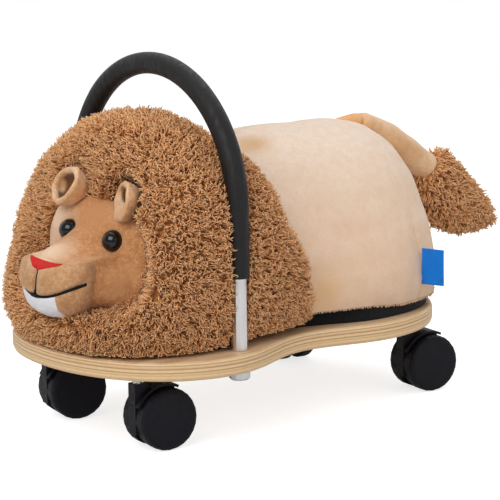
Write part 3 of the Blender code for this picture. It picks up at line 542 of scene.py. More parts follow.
def tube(line, radii, around, flatten=1.0, side=(1, 0, 0)):
    """Rows of points round a line; flatten scales the tube across the given side."""
    along = unit(np.gradient(line, axis=0))
    side = np.asarray(side, float)
    first = unit(side - (along @ side)[:, None] * along)
    second = np.cross(along, first)
    angle = ring_angles(around)[:, None]
    return line[:, None] + radii[:, None, None] * (
        np.cos(angle) * first[:, None] + flatten * np.sin(angle) * second[:, None])


def rounded_ends(line, radius, steps):
    """A line with half-round ends, and its radii."""
    angle = np.linspace(0, np.pi / 2, steps + 1)[1:]
    start, stop = (end + radius * np.sin(angle)[:, None] * unit(end - inner)
                   for end, inner in (line[:2], line[:-3:-1]))
    sizes = radius * np.maximum(np.cos(angle), 0.02)
    radii = np.concatenate([sizes[::-1], np.full(len(line), radius), sizes])
    return np.concatenate([start[::-1], line, stop]), radii


HEAD = (Matrix.Translation(HEAD_CENTRE) @ Matrix.Rotation(HEAD_TURN, 4, "Z")
        @ Matrix.Rotation(HEAD_TILT, 4, "Y") @ Matrix.Translation(-HEAD_CENTRE))
HEAD_PLACE = SHIFT @ HEAD


def from_head(points, place=HEAD):
    place = np.array(place)
    return points @ place[:3, :3].T + place[:3, 3]


def to_head(points):
    """Points of the board's frame as the untilted head sees them."""
    return from_head(points, HEAD.inverted())


# Materials

class Nodes:
    """Adds nodes to a tree, and sets or links their inputs."""

    def __init__(self, tree):
        self.tree = tree

    def put(self, node, values):
        for key, value in values.items():
            if isinstance(value, bpy.types.NodeSocket):
                self.tree.links.new(value, node.inputs[key])
            elif node.inputs[key].type == "RGBA":
                node.inputs[key].default_value = (*value, 1.0)
            else:
                node.inputs[key].default_value = value
        return node

    def node(self, kind, values=None, **settings):
        return self.put(configured(self.tree.nodes.new(kind), **settings), values or {})

    def math(self, operation, first, second=0.0, third=0.0):
        values = {0: first, 1: second, 2: third}
        return self.node("ShaderNodeMath", values, operation=operation).outputs[0]

    def product(self, first, second):
        return self.math("MULTIPLY", first, second)

    def range(self, value, low, high, to_low=0.0, to_high=1.0, **settings):
        values = {"Value": value, "From Min": low, "From Max": high, "To Min": to_low,
                  "To Max": to_high}
        return self.node("ShaderNodeMapRange", values, **settings).outputs["Result"]

    def step(self, *values):
        """Like range, but with smooth ends."""
        return self.range(*values, interpolation_type="SMOOTHSTEP")


class Finish(Nodes):
    """A node material under construction round one Principled shader."""

    def __init__(self, name, **shader_values):
        self.material = bpy.data.materials.new(name)
        self.material.use_nodes = True
        super().__init__(self.material.node_tree)
        self.shader = self.tree.nodes["Principled BSDF"]
        self.coords = self.node("ShaderNodeTexCoord").outputs["Object"]
        self.put(self.shader, {key.replace("_", " "): v for key, v in shader_values.items()})

    def stretched(self, scale):
        return self.node("ShaderNodeMapping", {"Vector": self.coords, "Scale": scale}).outputs[0]

    def noise(self, scale, detail=2.0, coords=None, roughness=0.5):
        values = {"Vector": coords or self.coords, "Scale": scale, "Detail": detail,
                  "Roughness": roughness}
        return self.node("ShaderNodeTexNoise", values).outputs["Fac"]

    def cells(self, scale):
        values = {"Vector": self.coords, "Scale": scale}
        return self.node("ShaderNodeTexVoronoi", values).outputs["Distance"]

    def attribute(self, name):
        return self.node("ShaderNodeAttribute", attribute_name=name).outputs["Fac"]

    def part(self, axis, vector=None):
        return self.node("ShaderNodeSeparateXYZ", {"Vector": vector or self.coords}).outputs[axis]

    def upness(self):
        return self.part(2, self.node("ShaderNodeNewGeometry").outputs["Normal"])

    def waves(self, axis, scale):
        return self.math("SINE", self.product(self.part(axis), scale))

    def ramp(self, value, *stops):
        made = self.node("ShaderNodeValToRGB", {"Fac": value})
        elements = made.color_ramp.elements
        for _ in stops[2:]:
            elements.new(0.5)
        for element, (place, _) in zip(elements, stops):
            element.position = place
        for element, (_, colour) in zip(elements, stops):
            element.color = (*colour, 1.0)
        return made.outputs["Color"]

    def mix(self, share, first, second):
        values = {0: share, 6: first, 7: second}
        return self.node("ShaderNodeMix", values, data_type="RGBA").outputs[2]

    def tinted(self, colour, tint, value, low, high, most):
        """A colour that takes up to most of a tint as value goes from low to high."""
        return self.mix(self.step(value, low, high, 0.0, most), colour, tint)

    def near(self, place, radius):
        """1 at a place, falling smoothly to 0 at a distance of radius."""
        away = self.node("ShaderNodeVectorMath", {0: self.coords, 1: place}, operation="DISTANCE")
        return self.step(away.outputs["Value"], 0.0, radius, 1.0, 0.0)

    def bump(self, height, distance_mm, before=None):
        values = {"Height": height, "Distance": distance_mm * MM, "Strength": 1.0}
        if before is not None:
            values["Normal"] = before
        return self.node("ShaderNodeBump", values).outputs["Normal"]

    def done(self, colour, normal=None, roughness=None):
        values = {"Base Color": colour, "Normal": normal, "Roughness": roughness}
        self.put(self.shader, {key: v for key, v in values.items() if v is not None})
        return self.material


def scaled(colour, factor, plus=0.0):
    return [c * factor + plus for c in colour]


def velour(name, base, deep, bright, tints=(), mask=None, top=None, grain=0.30):
    """Short-pile plush: fine nap, brushed patches, tints at given places and a top made paler by
    painted light.
    """
    made = Finish(name, Roughness=0.92, Sheen_Weight=0.35, Sheen_Roughness=0.45,
                  Sheen_Tint=(1.0, 0.93, 0.84), Specular_IOR_Level=0.15)
    brushed = made.noise(30.0, 4.0, made.stretched((1.0, 0.8, 1.2)))
    colour = made.ramp(brushed, (0.25, deep), (0.50, base), (0.78, bright))
    # Painted light: faces that look up take the paler top colour
    if top is not None:
        colour = made.tinted(colour, top, made.upness(), 0.05, 0.90, 0.9)
    nap = made.noise(700.0, 2.0, roughness=0.6)
    tufts = made.noise(360.0, 3.0, roughness=0.7)
    mottle = made.noise(130.0, 3.0, roughness=0.6)
    colour = made.tinted(colour, deep, mottle, 0.40, 0.62, grain)
    colour = made.tinted(colour, deep, nap, 0.35, 0.65, grain)
    colour = made.tinted(colour, bright, tufts, 0.45, 0.72, grain)
    # Each tint is painted light, painted shade or the cloth's own colour, as given at the call
    for place, radius, tint in tints:
        share = made.product(made.near(place, radius), made.step(brushed, 0.2, 0.6, 0.5, 1))
        colour = made.mix(share, colour, tint)
    if mask is not None:
        colour = made.mix(mask[0](made), colour, mask[1])
    normal = made.bump(brushed, 0.6)
    normal = made.bump(mottle, 0.8 * grain, normal)
    normal = made.bump(tufts, 0.25 + 0.5 * grain, normal)
    normal = made.bump(nap, 0.15 + 0.3 * grain, normal)
    return made.done(colour, normal)


def fleece(name, root, middle, tip, shade):
    """Curls: painted shade darkens the root and painted highlight lightens the tip; each lock differs
    a little.
    """
    made = Finish(name, Roughness=0.8, Sheen_Weight=0.12, Sheen_Roughness=0.5,
                  Sheen_Tint=(1.0, 0.80, 0.60), Specular_IOR_Level=0.14)
    colour = made.ramp(made.attribute("along"), (0.15, root), (0.55, middle), (0.95, tip))
    colour = made.tinted(colour, shade, made.attribute("tone"), 0.45, 1.0, 0.45)
    colour = made.tinted(colour, middle, made.noise(38.0), 0.40, 0.68, 0.30)
    return made.done(colour, made.bump(made.noise(1400.0), 0.12))


def fleece_ground(name, root, middle):
    """Cloth under the curls, pitted between their roots, with painted shade in the pits."""
    made = Finish(name, Roughness=0.95, Specular_IOR_Level=0.1)
    height = made.cells(330.0)
    return made.done(made.ramp(height, (0.1, middle), (0.6, root)), made.bump(height, -1.0))


def plywood():
    """Birch plywood: grain along the board on its faces, plies round its edge."""
    made = Finish("birch_plywood_look", Coat_Weight=0.12, Coat_Roughness=0.35)
    height = made.range(made.part(2), BOARD_LOW.z, BOARD_HIGH.z)
    drift = made.product(made.math("SUBTRACT", made.noise(9.0), 0.5), 0.06)
    edge = made.ramp(made.math("ADD", height, drift), *PLIES)
    fibre = made.noise(220.0, 3.0, made.stretched((1.0, 0.9, 7.0)))
    edge = made.tinted(edge, PLY_DARK, fibre, 0.45, 0.8, 0.35)
    grain = made.noise(120.0, 4.0, made.stretched((1.0, 0.06, 1.0)))
    flat = made.step(made.math("ABSOLUTE", made.upness()), 0.80, 0.97)
    colour = made.mix(flat, edge, made.ramp(grain, *PLY_FACE))
    normal = made.bump(grain, 0.10, made.bump(fibre, 0.10))
    return made.done(colour, normal, made.step(fibre, 0.3, 0.7, 0.42, 0.6))


def metal(name, colour, roughness, brush_scale):
    """Drawn metal: brushed along its length, a little worn."""
    made = Finish(name, Metallic=1.0)
    brush = made.noise(brush_scale, 3.0, made.stretched((1.0, 1.0, 0.05)))
    shade = made.tinted(colour, scaled(colour, 0.8), made.noise(45.0), 0.4, 0.7, 0.25)
    return made.done(shade, made.bump(brush, 0.02),
                     made.step(brush, 0.3, 0.7, roughness * 0.85, roughness * 1.25))


def moulded(name, colour, roughness):
    """Moulded nylon: fine spark-eroded grain with a few scuffs."""
    made = Finish(name, Specular_IOR_Level=0.22)
    scuff = made.noise(160.0, 4.0, roughness=0.7)
    shade = made.tinted(colour, scaled(colour, 1.8), scuff, 0.55, 0.75, 0.35)
    return made.done(shade, made.bump(made.noise(900.0), 0.06),
                     made.step(scuff, 0.35, 0.7, roughness, roughness * 1.3))


def foam_rubber():
    """Black foam sleeve: fine cells and a faint drawn skin."""
    made = Finish("foam_look", Sheen_Weight=0.03, Sheen_Roughness=0.35,
                  Sheen_Tint=(0.85, 0.75, 0.80), Specular_IOR_Level=0.44)
    drawn = made.noise(300.0, 2.0, made.stretched((1.0, 1.0, 0.25)))
    colour = made.ramp(drawn, (0.35, (0.0036, 0.0024, 0.0029)), (0.7, (0.0062, 0.0042, 0.0050)))
    normal = made.bump(drawn, 0.10, made.bump(made.cells(1500.0), 0.05))
    return made.done(colour, normal, made.step(drawn, 0.3, 0.7, 0.5, 0.68))


def woven(name, colour, thread_mm, roughness, cross):
    """Plain weave from two sets of threads, square to each other."""
    made = Finish(name, Roughness=roughness, Sheen_Weight=0.1, Specular_IOR_Level=0.2)
    x, y, z = (made.waves(axis, math.pi / (thread_mm * MM)) for axis in (0, 1, 2))
    weave = made.product(made.math("ADD", x, y), z)
    shade = made.tinted(colour, cross, weave, -1.0, 1.0, 0.4)
    shade = made.tinted(shade, scaled(colour, 1.5, 0.004), made.noise(400.0), 0.4, 0.75, 0.2)
    return made.done(shade, made.bump(weave, 0.10))


def gloss_black():
    """Polished plastic of the eyes, with a faint haze."""
    made = Finish("eye_look", Specular_IOR_Level=0.5)
    haze = made.noise(120.0)
    colour = made.ramp(haze, (0.4, (0.0025, 0.0025, 0.003)), (0.7, (0.005, 0.005, 0.007)))
    return made.done(colour, None, made.step(haze, 0.4, 0.7, 0.11, 0.15))


def felt(name, colour, deep):
    """Pressed felt with short matted fibres."""
    made = Finish(name, Roughness=0.85, Sheen_Weight=0.1, Sheen_Roughness=0.4,
                  Specular_IOR_Level=0.15)
    fibres = made.noise(800.0, 3.0)
    return made.done(made.tinted(colour, deep, fibres, 0.35, 0.7, 0.5), made.bump(fibres, 0.15))


def satin_thread(name, colour, stitch_mm=0.45):
    """Embroidery thread in close stitches."""
    made = Finish(name, Roughness=0.6, Specular_IOR_Level=0.18)
    shade = made.tinted(colour, scaled(colour, 1.8), made.noise(700.0), 0.4, 0.7, 0.5)
    return made.done(shade, made.bump(made.waves(0, math.pi / (stitch_mm * MM)), 0.10))


def chin_share(made):
    """1 between the two chin seams and below the mouth."""
    x = made.math("ABSOLUTE", made.part(0))
    inside = made.step(x, CHIN_PATCH_X - 0.2 * MM, CHIN_PATCH_X + 0.2 * MM, 1.0, 0.0)
    rise = made.math("SUBTRACT", made.part(2), made.product(made.product(x, x), MOUTH_CURVE))
    below = made.step(rise, MOUTH_Z - 1 * MM, MOUTH_Z, 1.0, 0.0)
    front = made.step(made.part(1), MUZZLE_Y + 4 * MM, MUZZLE_Y + 6 * MM, 1.0, 0.0)
    return made.product(made.product(inside, below), front)


def ear_hollow_shade_share(made):
    """1 deep inside the cup of an ear, where the lining takes painted shade."""
    flat = made.node("ShaderNodeCombineXYZ", {"X": made.part(0), "Z": made.part(2)})
    away = made.node("ShaderNodeVectorMath", {0: flat.outputs[0]}, operation="LENGTH")
    inside = made.step(away.outputs["Value"], 13 * MM, 15 * MM, 1.0, 0.0)
    deep = made.step(made.part(1), 0.2 * MM, 3 * MM, 0.0, 1.0)
    shell = made.step(made.part(1), HOLLOW_DEPTH, HOLLOW_DEPTH + 2 * MM, 1.0, 0.0)
    return made.product(made.product(inside, deep), shell)


# Fur

def draws(rng, count, *ranges):
    """Even random values for each range of a least and a most value."""
    return [rng.uniform(least, most, count) for least, most in ranges]


def strands(name, roots, outward, lengths, radii, tones, curls, phases, finish, slot, seed,
            clear=None, levels=6):
    """One mesh of curled tapering strands, each closed at its root and its tip."""
    rng = np.random.default_rng(seed)
    count = len(roots)
    along = np.linspace(0, 1, levels)
    first = unit(np.cross(outward, rng.normal(size=(count, 3))))
    second = np.cross(outward, first)
    turn = phases[:, None] + along * curls[:, None]
    swing = lengths[:, None] * STRAND_SWING * np.sin(along * np.pi / 2)
    reach = lengths[:, None] * np.sin(along * STRAND_BEND) / math.sin(STRAND_BEND)
    line = roots[:, None]
    for size, way in ((reach, outward), (swing * np.cos(turn), first), (swing * np.sin(turn), second)):
        line = line + size[..., None] * way[:, None]
    if clear is not None:
        line = clear(line.reshape(-1, 3)).reshape(line.shape)
    direction = unit(np.gradient(line, axis=1))
    beside = unit(np.cross(direction, np.array((0.31, 0.57, 0.76))))
    above = np.cross(direction, beside)
    size = radii[:, None] * (0.82 + 0.75 * along - 1.30 * along ** 2)
    angle = ring_angles(STRAND_SIDES)[:, None]
    rings = line[:, :, None] + size[..., None, None] * (
        np.cos(angle) * beside[:, :, None] + np.sin(angle) * above[:, :, None])
    points = np.concatenate([rings[:, :-1].reshape(count, -1, 3), line[:, -1:]], 1)
    per = points.shape[1]
    base = (np.arange(count) * per)[:, None, None]
    top = (levels - 2) * STRAND_SIDES
    ends = [(top + side, top + (side + 1) % STRAND_SIDES, per - 1) for side in range(STRAND_SIDES)]
    quads = base + np.array(skin_faces(levels - 1, STRAND_SIDES))
    ends = base + np.array([*ends, (2, 1, 0)])
    mesh = bpy.data.meshes.new(name)
    mesh.from_pydata(points.reshape(-1, 3).tolist(), [],
                     quads.reshape(-1, 4).tolist() + ends.reshape(-1, 3).tolist())
    share = np.append(np.repeat(along[:-1], STRAND_SIDES), 1.0)
    for key, values in (("along", np.tile(share, count)), ("tone", np.repeat(tones, per))):
        layer = mesh.attributes.new(key, "FLOAT", "POINT")
        layer.data.foreach_set("value", values.astype(np.float32))
    return add_object(name, mesh, finish)


def scattered(rows, normals, count, seed):
    """Points spread evenly by area over a grid, with their normals."""
    rng = np.random.default_rng(seed)
    a, b, c = rows[:-1], np.roll(rows, -1, axis=1)[:-1], rows[1:]
    run = np.cumsum(np.linalg.norm(np.cross(b - a, c - a), axis=2).ravel())
    picks = (np.arange(count) + rng.uniform(0, 1, count)) / count * run[-1]
    row, column = np.divmod(np.searchsorted(run, picks), rows.shape[1])
    after = (column + 1) % rows.shape[1]
    u, v = rng.uniform(0, 1, (2, count, 1))

    def blended(grid):
        return ((1 - u) * (1 - v) * grid[row, column] + u * (1 - v) * grid[row, after]
                + (1 - u) * v * grid[row + 1, column] + u * v * grid[row + 1, after])

    return blended(rows), unit(blended(normals))


def locks(points, normals, spread, seed, wild):
    """Copies each root into a lock of strands that share a lean and a tone."""
    rng = np.random.default_rng(seed)
    count = len(points)
    outward = unit(normals + rng.normal(size=(count, 3)) * wild)
    tone = rng.uniform(0, 1, count)
    phase = rng.uniform(0, 2 * np.pi, count)
    points, outward, tone, phase = (np.repeat(values, STRANDS_PER_LOCK, axis=0)
                                    for values in (points, outward, tone, phase))
    total = len(points)
    roots = points + rng.normal(size=(total, 3)) * spread
    leaning = unit(outward + rng.normal(size=(total, 3)) * 0.16)
    tones = np.clip(tone + rng.normal(size=total) * 0.12, 0, 1)
    phases = phase + rng.normal(size=total) * 0.5
    return roots, leaning, tones, phases


def clear_of_hoop(points, margin, split=0.0):
    """Moves points out of the hoop: inwards, or sideways from split of its radius on."""
    points = points.copy()
    side, rise = np.abs(points[:, 0]), np.maximum(points[:, 2] - HOOP_CENTRE_Z, 0)
    reach = np.hypot(side, rise)
    off = points[:, 1] - HANDLE_Y
    radius = GRIP_RADIUS + margin
    inwards = np.sqrt(np.maximum(radius ** 2 - off ** 2, 0))
    hit = (np.abs(off) < radius) & (reach > HOOP_RADIUS - inwards)
    hit &= reach < HOOP_RADIUS + radius * 1.5
    sideways = hit & (np.abs(off) > split * radius) & (split > 0)
    beside = np.sqrt(np.maximum(radius ** 2 - (reach - HOOP_RADIUS) ** 2, 0))
    points[:, 1] = np.where(sideways, HANDLE_Y + np.sign(off) * beside, points[:, 1])
    scale = np.where(hit & ~sideways, (HOOP_RADIUS - inwards) / np.maximum(reach, 1e-6), 1.0)
    points[:, 0] *= scale
    points[:, 2] += (scale - 1) * rise
    return points


def behind_collar(points):
    return (points - COLLAR_POINT) @ COLLAR_NORMAL


def in_face(points, margin):
    """How far points lie in the face, the muzzle or an ear, as 0 outside and more inside."""
    local = to_head(points)
    x, y, z = local.T
    upper = z > FACE_Z
    power = np.where(upper, FACE_POWER, CHEEK_POWER)
    tall = np.where(upper, FOREHEAD_HEIGHT, CHEEK_DROP) + margin
    face = room(power, (x, FACE_HALF_WIDTH + margin), (z - FACE_Z, tall))
    face = np.where(y < FACE_Y + FACE_SINK, face, 0)
    depth = np.where(y > MUZZLE_Y, MUZZLE_BACK, MUZZLE_FRONT) + margin
    muzzle = room(MUZZLE_CLEAR_POWER, (x, MUZZLE_HALF_WIDTH + margin), (y - MUZZLE_Y, depth),
                  (z - MUZZLE_Z, MUZZLE_HALF_HEIGHT + margin))
    ears = [1 - np.linalg.norm(local - np.array(FUR_EAR_PLACE) * (side, 1, 1), axis=1)
            / (FUR_EAR_RADIUS + margin) for side in (-1, 1)]
    return np.maximum.reduce([face, muzzle, *ears, np.zeros(len(x))])


def fur_hem(y):
    """Height of the curls' lower edge, which rises towards the back."""
    steps = sum(rise * ease((y - start) / run) for start, run, rise in FUR_STEPS)
    return DECK_Z + FUR_GAP + steps


def fur_clear(points):
    """Keeps curls off the hoop and above their lower edge."""
    points = clear_of_hoop(points, 0.2 * MM, 0.35)
    points[:, 2] = np.maximum(points[:, 2], fur_hem(points[:, 1]))
    return points


def mane_envelope():
    """The outside of the curls as a grid, hollowed where the face and the ears sit."""
    lowest = MANE_SHARES[0][0]
    places = 1 - (1 - lowest) * (1 - np.sin(np.linspace(0, np.pi / 2, 120)))
    rows = []
    for height, (width, front, back, power) in zip(places, curve_through(MANE_SHARES, places)):
        ring = super_ring(width * MANE_HALF_WIDTH, front * MANE_DEPTH, back * MANE_DEPTH, power, 260)
        z = DECK_Z + SKIN_GAP + height * MANE_HEIGHT
        rows.append(points_at(ring[:, 0], ring[:, 1] + MANE_Y, z))
    rows = np.array(rows)
    flat = to_head(rows.reshape(-1, 3))
    x, y, z = flat[:, 0], flat[:, 1], flat[:, 2] - FACE_Z
    tall = np.where(z > 0, DISH_RISE, DISH_DROP)
    inside = np.maximum(room(DISH_POWER, (x, DISH_HALF_WIDTH), (z, tall)), 0)
    back = FACE_Y - DISH_DEPTH + DISH_DEPTH * inside ** (1 / DISH_POWER)
    flat[:, 1] = np.where((inside > 0) & (y < back) & (y < MANE_Y), back, y)
    for side in (-1, 1):
        away = np.hypot(x - side * EAR_X, flat[:, 2] - EAR_Z)
        share = ease((EAR_ROOM - away) / 0.008) * (flat[:, 1] < EAR_BACK_Y)
        flat[:, 1] += (EAR_BACK_Y - flat[:, 1]) * share
    return smoothed(from_head(flat).reshape(rows.shape), 4)


def build_mane():
    envelope = mane_envelope()
    normals = grid_normals(envelope)
    ground = envelope - normals * PILE_INSET
    ground = clear_of_hoop(ground.reshape(-1, 3), 1.2 * MM).reshape(ground.shape)
    ground[:, :, 2] = np.maximum(ground[:, :, 2], fur_hem(ground[:, :, 1]) + 0.5 * MM)
    mane = skin("mane_ground", ground, GROUND)
    cut_back(mane, COLLAR_POINT, COLLAR_NORMAL)
    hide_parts("mane")

    roots, outward = scattered(ground, normals, LOCK_COUNT, 11)
    away = behind_collar(roots)
    flare = FLARE_LEAST + FLARE_MORE * bell(roots[:, 2] - FLARE_Z, FLARE_REACH)
    keep = (away < flare) & (in_face(roots, 0.3 * MM) <= 0)
    roots, outward, away, flare = roots[keep], outward[keep], away[keep], flare[keep]
    over = np.maximum(away, 0)[:, None]
    roots = roots - outward * over * 0.75
    radial, nearness = face_lean(roots)
    outward = outward + radial * nearness * 0.85
    outward = outward + over / flare[:, None] * COLLAR_NORMAL * 0.7
    outward[:, 2] -= 0.10
    rng = np.random.default_rng(5)
    longer = np.repeat(1 + 0.30 * nearness[:, 0], STRANDS_PER_LOCK)
    wild = 0.42 - 0.16 * nearness
    roots, leaning, tones, phases = locks(roots, unit(outward), 0.55 * MM, 12, wild)
    total = len(roots)
    lengths = PILE_LENGTH * rng.uniform(0.72, 1.15, total) * longer
    radii = rng.uniform(0.54, 0.84, total) * MM / longer
    curls = rng.choice((-1, 1), total) * rng.uniform(1.2, 3.8, total)
    keep = in_face(roots + leaning * lengths[:, None], -1.6 * MM) <= 0
    sector = np.argsort(np.argsort(np.arctan2(roots[:, 0], -(roots[:, 1] - MANE_Y))))
    sector = sector * FUR_PIECES // total
    for piece in range(FUR_PIECES):
        pick = keep & (sector == piece)
        values = (v[pick] for v in (roots, leaning, lengths, radii, tones, curls, phases))
        strands(f"mane_curls_{piece + 1}", *values, CURLS, "curly_fleece", 20 + piece, fur_clear)


def face_lean(roots):
    """Directions away from the face's middle, and how near each root is to its rim."""
    local = to_head(roots) - np.array((0, FACE_Y, PARTING_Z))
    spread = np.linalg.norm(local[:, (0, 2)], axis=1)
    radial = local * np.array((1, 0, 1)) / (spread[:, None] + 1e-6)
    radial = from_head(radial) - from_head(np.zeros((1, 3)))
    nearness = bell(spread - PARTING_RIM, PARTING_REACH) * (local[:, 1] < PARTING_DEPTH)
    return radial, nearness[:, None]


# Body

def rump_top(y):
    """Height of the rump's back above its belly, which dips towards the neck."""
    return RUMP_SPAN - NECK_DIP * ease(1 - (y - NECK_Y) / NECK_DIP_REACH)


def seam_angles(count):
    """Angles of half a turn, closer together at the two panel seams."""
    fine = np.linspace(0, np.pi, 2000)
    density = 1 + 9 * sum(bell(place - PANEL_SEAM_ANGLE, 0.05) for place in (fine, np.pi - fine))
    run = np.concatenate([[0], np.cumsum((density[1:] + density[:-1]) / 2)])
    return np.interp(np.linspace(0, run[-1], count), run, fine)


def rump_rows():
    belly_z = DECK_Z + RUMP_BELLY_HEIGHT
    low = PAD_TOP_Z + SKIN_GAP
    table = [(low + (belly_z - low) * share, *sizes) for share, *sizes in RUMP_LOW_SHARES]
    table += [(belly_z + share * RUMP_SPAN, *sizes) for share, *sizes in RUMP_SHARES]
    places = low + (table[-1][0] - low) * np.sin(np.linspace(0, np.pi / 2, 110))
    side_y = np.linspace(NECK_Y - RUMP_HALF_WIDTH / 2, RUMP_ROUND_Y, 70, endpoint=False)
    angle = seam_angles(181)
    side = np.ones(len(side_y))
    rows = []
    for z, sizes in zip(places, curve_through(table, places)):
        width, depth = sizes * RUMP_HALF_WIDTH
        x = width * np.concatenate([side, np.cos(angle), -side])
        y = np.concatenate([side_y, RUMP_ROUND_Y + depth * np.sin(angle), side_y[::-1]])
        draw = RUMP_WAIST_DRAW * ease((REAR_LOBE_Y - y) / (REAR_LOBE_Y - WAIST_Y))
        height = z if z < belly_z else belly_z + (z - belly_z) / RUMP_SPAN * rump_top(y)
        rows.append(points_at(x * (1 - draw / RUMP_HALF_WIDTH), y, height))
    return np.array(rows)


def inward(points):
    """Plan directions from points on the rump towards its middle line."""
    x, y, z = points.T
    return unit(points_at(0.0, np.minimum(y, RUMP_ROUND_Y), z) - points)


def zipped(base, around, over):
    """Faces across a mirrored ring of points that starts at base."""
    faces = []
    for i in range(around // 2):
        face = [base + i, base + i + 1, base + around - 2 - i, base + around - 1 - i]
        faces.append(list(dict.fromkeys(face if over else face[::-1])))
    return faces


def rump_push(points):
    """How far each point of the rump moves out: seams, puckers, dents and folds."""
    x, y, z = points.T
    plan = np.arctan2(y - RUMP_ROUND_Y, np.abs(x))
    rise = (z - PAD_TOP_Z) / (RUMP_HEIGHT + DECK_Z - PAD_TOP_Z)
    seam = (plan - PANEL_SEAM_ANGLE) * np.hypot(x, y - RUMP_ROUND_Y)
    low = 1 - ease((rise - SEAM_END_SHARE) / SEAM_FADE_SHARE)
    pucker = 1 + 0.35 * np.sin(z * 2 * math.pi / PUCKER_PITCH)
    push = np.zeros(len(points))
    for (offset, width, height), share in ((SEAM_GROOVE, low), (SEAM_PULL, low * pucker),
                                           (SEAM_ROLL, low)):
        push += height * bell(seam - offset, width) * share
    push += 0.55 * MM * wavy(points, 0.055, 3) + 0.22 * MM * wavy(points, 0.021, 4)
    push -= 0.6 * MM * bell(z - PAD_TOP_Z, 3 * MM) * (1 + 0.5 * wavy(points, 0.014, 6))
    for place, depth, width in CREASES:
        push -= depth * bell(np.linalg.norm(points - np.array(place), axis=1), width)
    return push


def build_rump():
    rows = smoothed(rump_rows(), 6)
    points = rows.reshape(-1, 3)
    centre = np.array((0, RUMP_ROUND_Y / 2, DECK_Z + RUMP_HEIGHT / 3))
    normals = turned_out(grid_normals(rows).reshape(-1, 3), points, centre)
    rows = (points + normals * rump_push(points)[:, None]).reshape(rows.shape)
    rows[:, :, 2] = np.maximum(rows[:, :, 2], PAD_TOP_Z + SKIN_GAP)
    edge = rows[0]
    drop = LIP_LEAST + LIP_DROP * ease((edge[:, 1] - LIP_Y) / LIP_RUN)
    lip = []
    for inset, share in LIP_RINGS:
        ring = edge + inward(edge) * inset * MM
        ring[:, 2] = PAD_TOP_Z + SKIN_GAP - drop * share
        lip.append(ring)
    rows = np.concatenate([np.array(lip), rows[1:]])
    count, around = rows.shape[:2]
    faces = skin_faces(count, around)
    faces += zipped(0, around, True) + zipped((count - 1) * around, around, False)
    rump = add_mesh("rump_plush", rows.reshape(-1, 3), faces, RUMP_LOOK)
    cut_back(rump, COLLAR_POINT + COLLAR_NORMAL * SKIN_GAP, -COLLAR_NORMAL)
    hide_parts("rump")
    build_hem_pile(rows[2])


def build_hem_pile(hem):
    """Short pile that hangs over the pad along the rump's lower edge."""
    rng = np.random.default_rng(31)
    run = rng.uniform(0, len(hem) - 1.001, HEM_STRAND_COUNT)
    i = run.astype(int)
    roots = hem[i] + (hem[i + 1] - hem[i]) * (run - i)[:, None]
    roots = roots[behind_collar(roots) > 0.002]
    total = len(roots)
    out = -inward(roots)
    roots = roots + out * rng.uniform(-0.6, 0.9, (total, 1)) * MM
    roots[:, 2] += 0.7 * MM
    outward = unit(out * 0.3 + np.array((0, 0, -1.0)) + rng.normal(size=roots.shape) * 0.22)
    values = draws(rng, total, (1.4 * MM, 2.8 * MM), (0.28 * MM, 0.45 * MM), (0, 1), (-1.5, 1.5),
                   (0, 6.28))
    strands("rump_hem_pile", roots, outward, *values, HEM_LOOK, "pale_velour", 33, levels=4)


def tail_line(count):
    """The tail's centreline and radii, smooth through its shares."""
    places = np.linspace(TAIL_SHARES[0][0], TAIL_SHARES[-1][0], count)
    rise, radius = curve_through(TAIL_SHARES, places).T
    line = points_at(0.0, TAIL_ROOT_Y + places * TAIL_LENGTH, TAIL_ROOT_Z + rise * TAIL_LENGTH)
    return line, radius * TAIL_END_RADIUS


def build_tail():
    line, radii = tail_line(150)
    rows = tube(line, radii, 72)
    points = rows.reshape(-1, 3)
    x, y, z = points.T
    fold = y - (TAIL_ROOT_Y + TAIL_FOLD_SHARE * TAIL_LENGTH)
    fold = fold - FOLD_LEAN_X * x - FOLD_LEAN_Z * (z - TAIL_ROOT_Z)
    push = 0.18 * MM * wavy(points, 0.016, 8) + 0.25 * MM * wavy(points, 0.035, 9)
    push -= FOLD_DEPTH * bell(fold, FOLD_WIDTH)
    push += SWELL_HEIGHT * bell(fold - SWELL_BEHIND, SWELL_WIDTH)
    rows = rows + unit(rows - line[:, None]) * push.reshape(rows.shape[:2])[..., None]
    tail = skin("tail_plush", rows, TAIL_LOOK)
    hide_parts("tail")


def tuft_rows(end):
    """The tuft's ground as rows from the tail's end, below the curls."""
    places = np.linspace(0, TUFT_SHARES[-1][0], 60)
    widest = max(top - bottom for _, top, bottom in TUFT_SHARES) / 2
    angle = ring_angles(72)[:, None]
    rows = []
    for along, (top, bottom) in zip(places, curve_through(TUFT_SHARES, places)):
        middle, radius = (top + bottom) / 2, (top - bottom) / 2
        across = TUFT_THICKNESS / 2 * math.sqrt(max(radius, 0.01) / widest)
        across, tall = (max(size - TUFT_INSET, 1 * MM) for size in (across, radius * TUFT_LENGTH))
        centre = end + TUFT_LENGTH * (along * TUFT_ALONG + middle * TUFT_UP)
        rows.append(centre + across * np.cos(angle) * ACROSS + tall * np.sin(angle) * TUFT_UP)
    return np.array(rows)


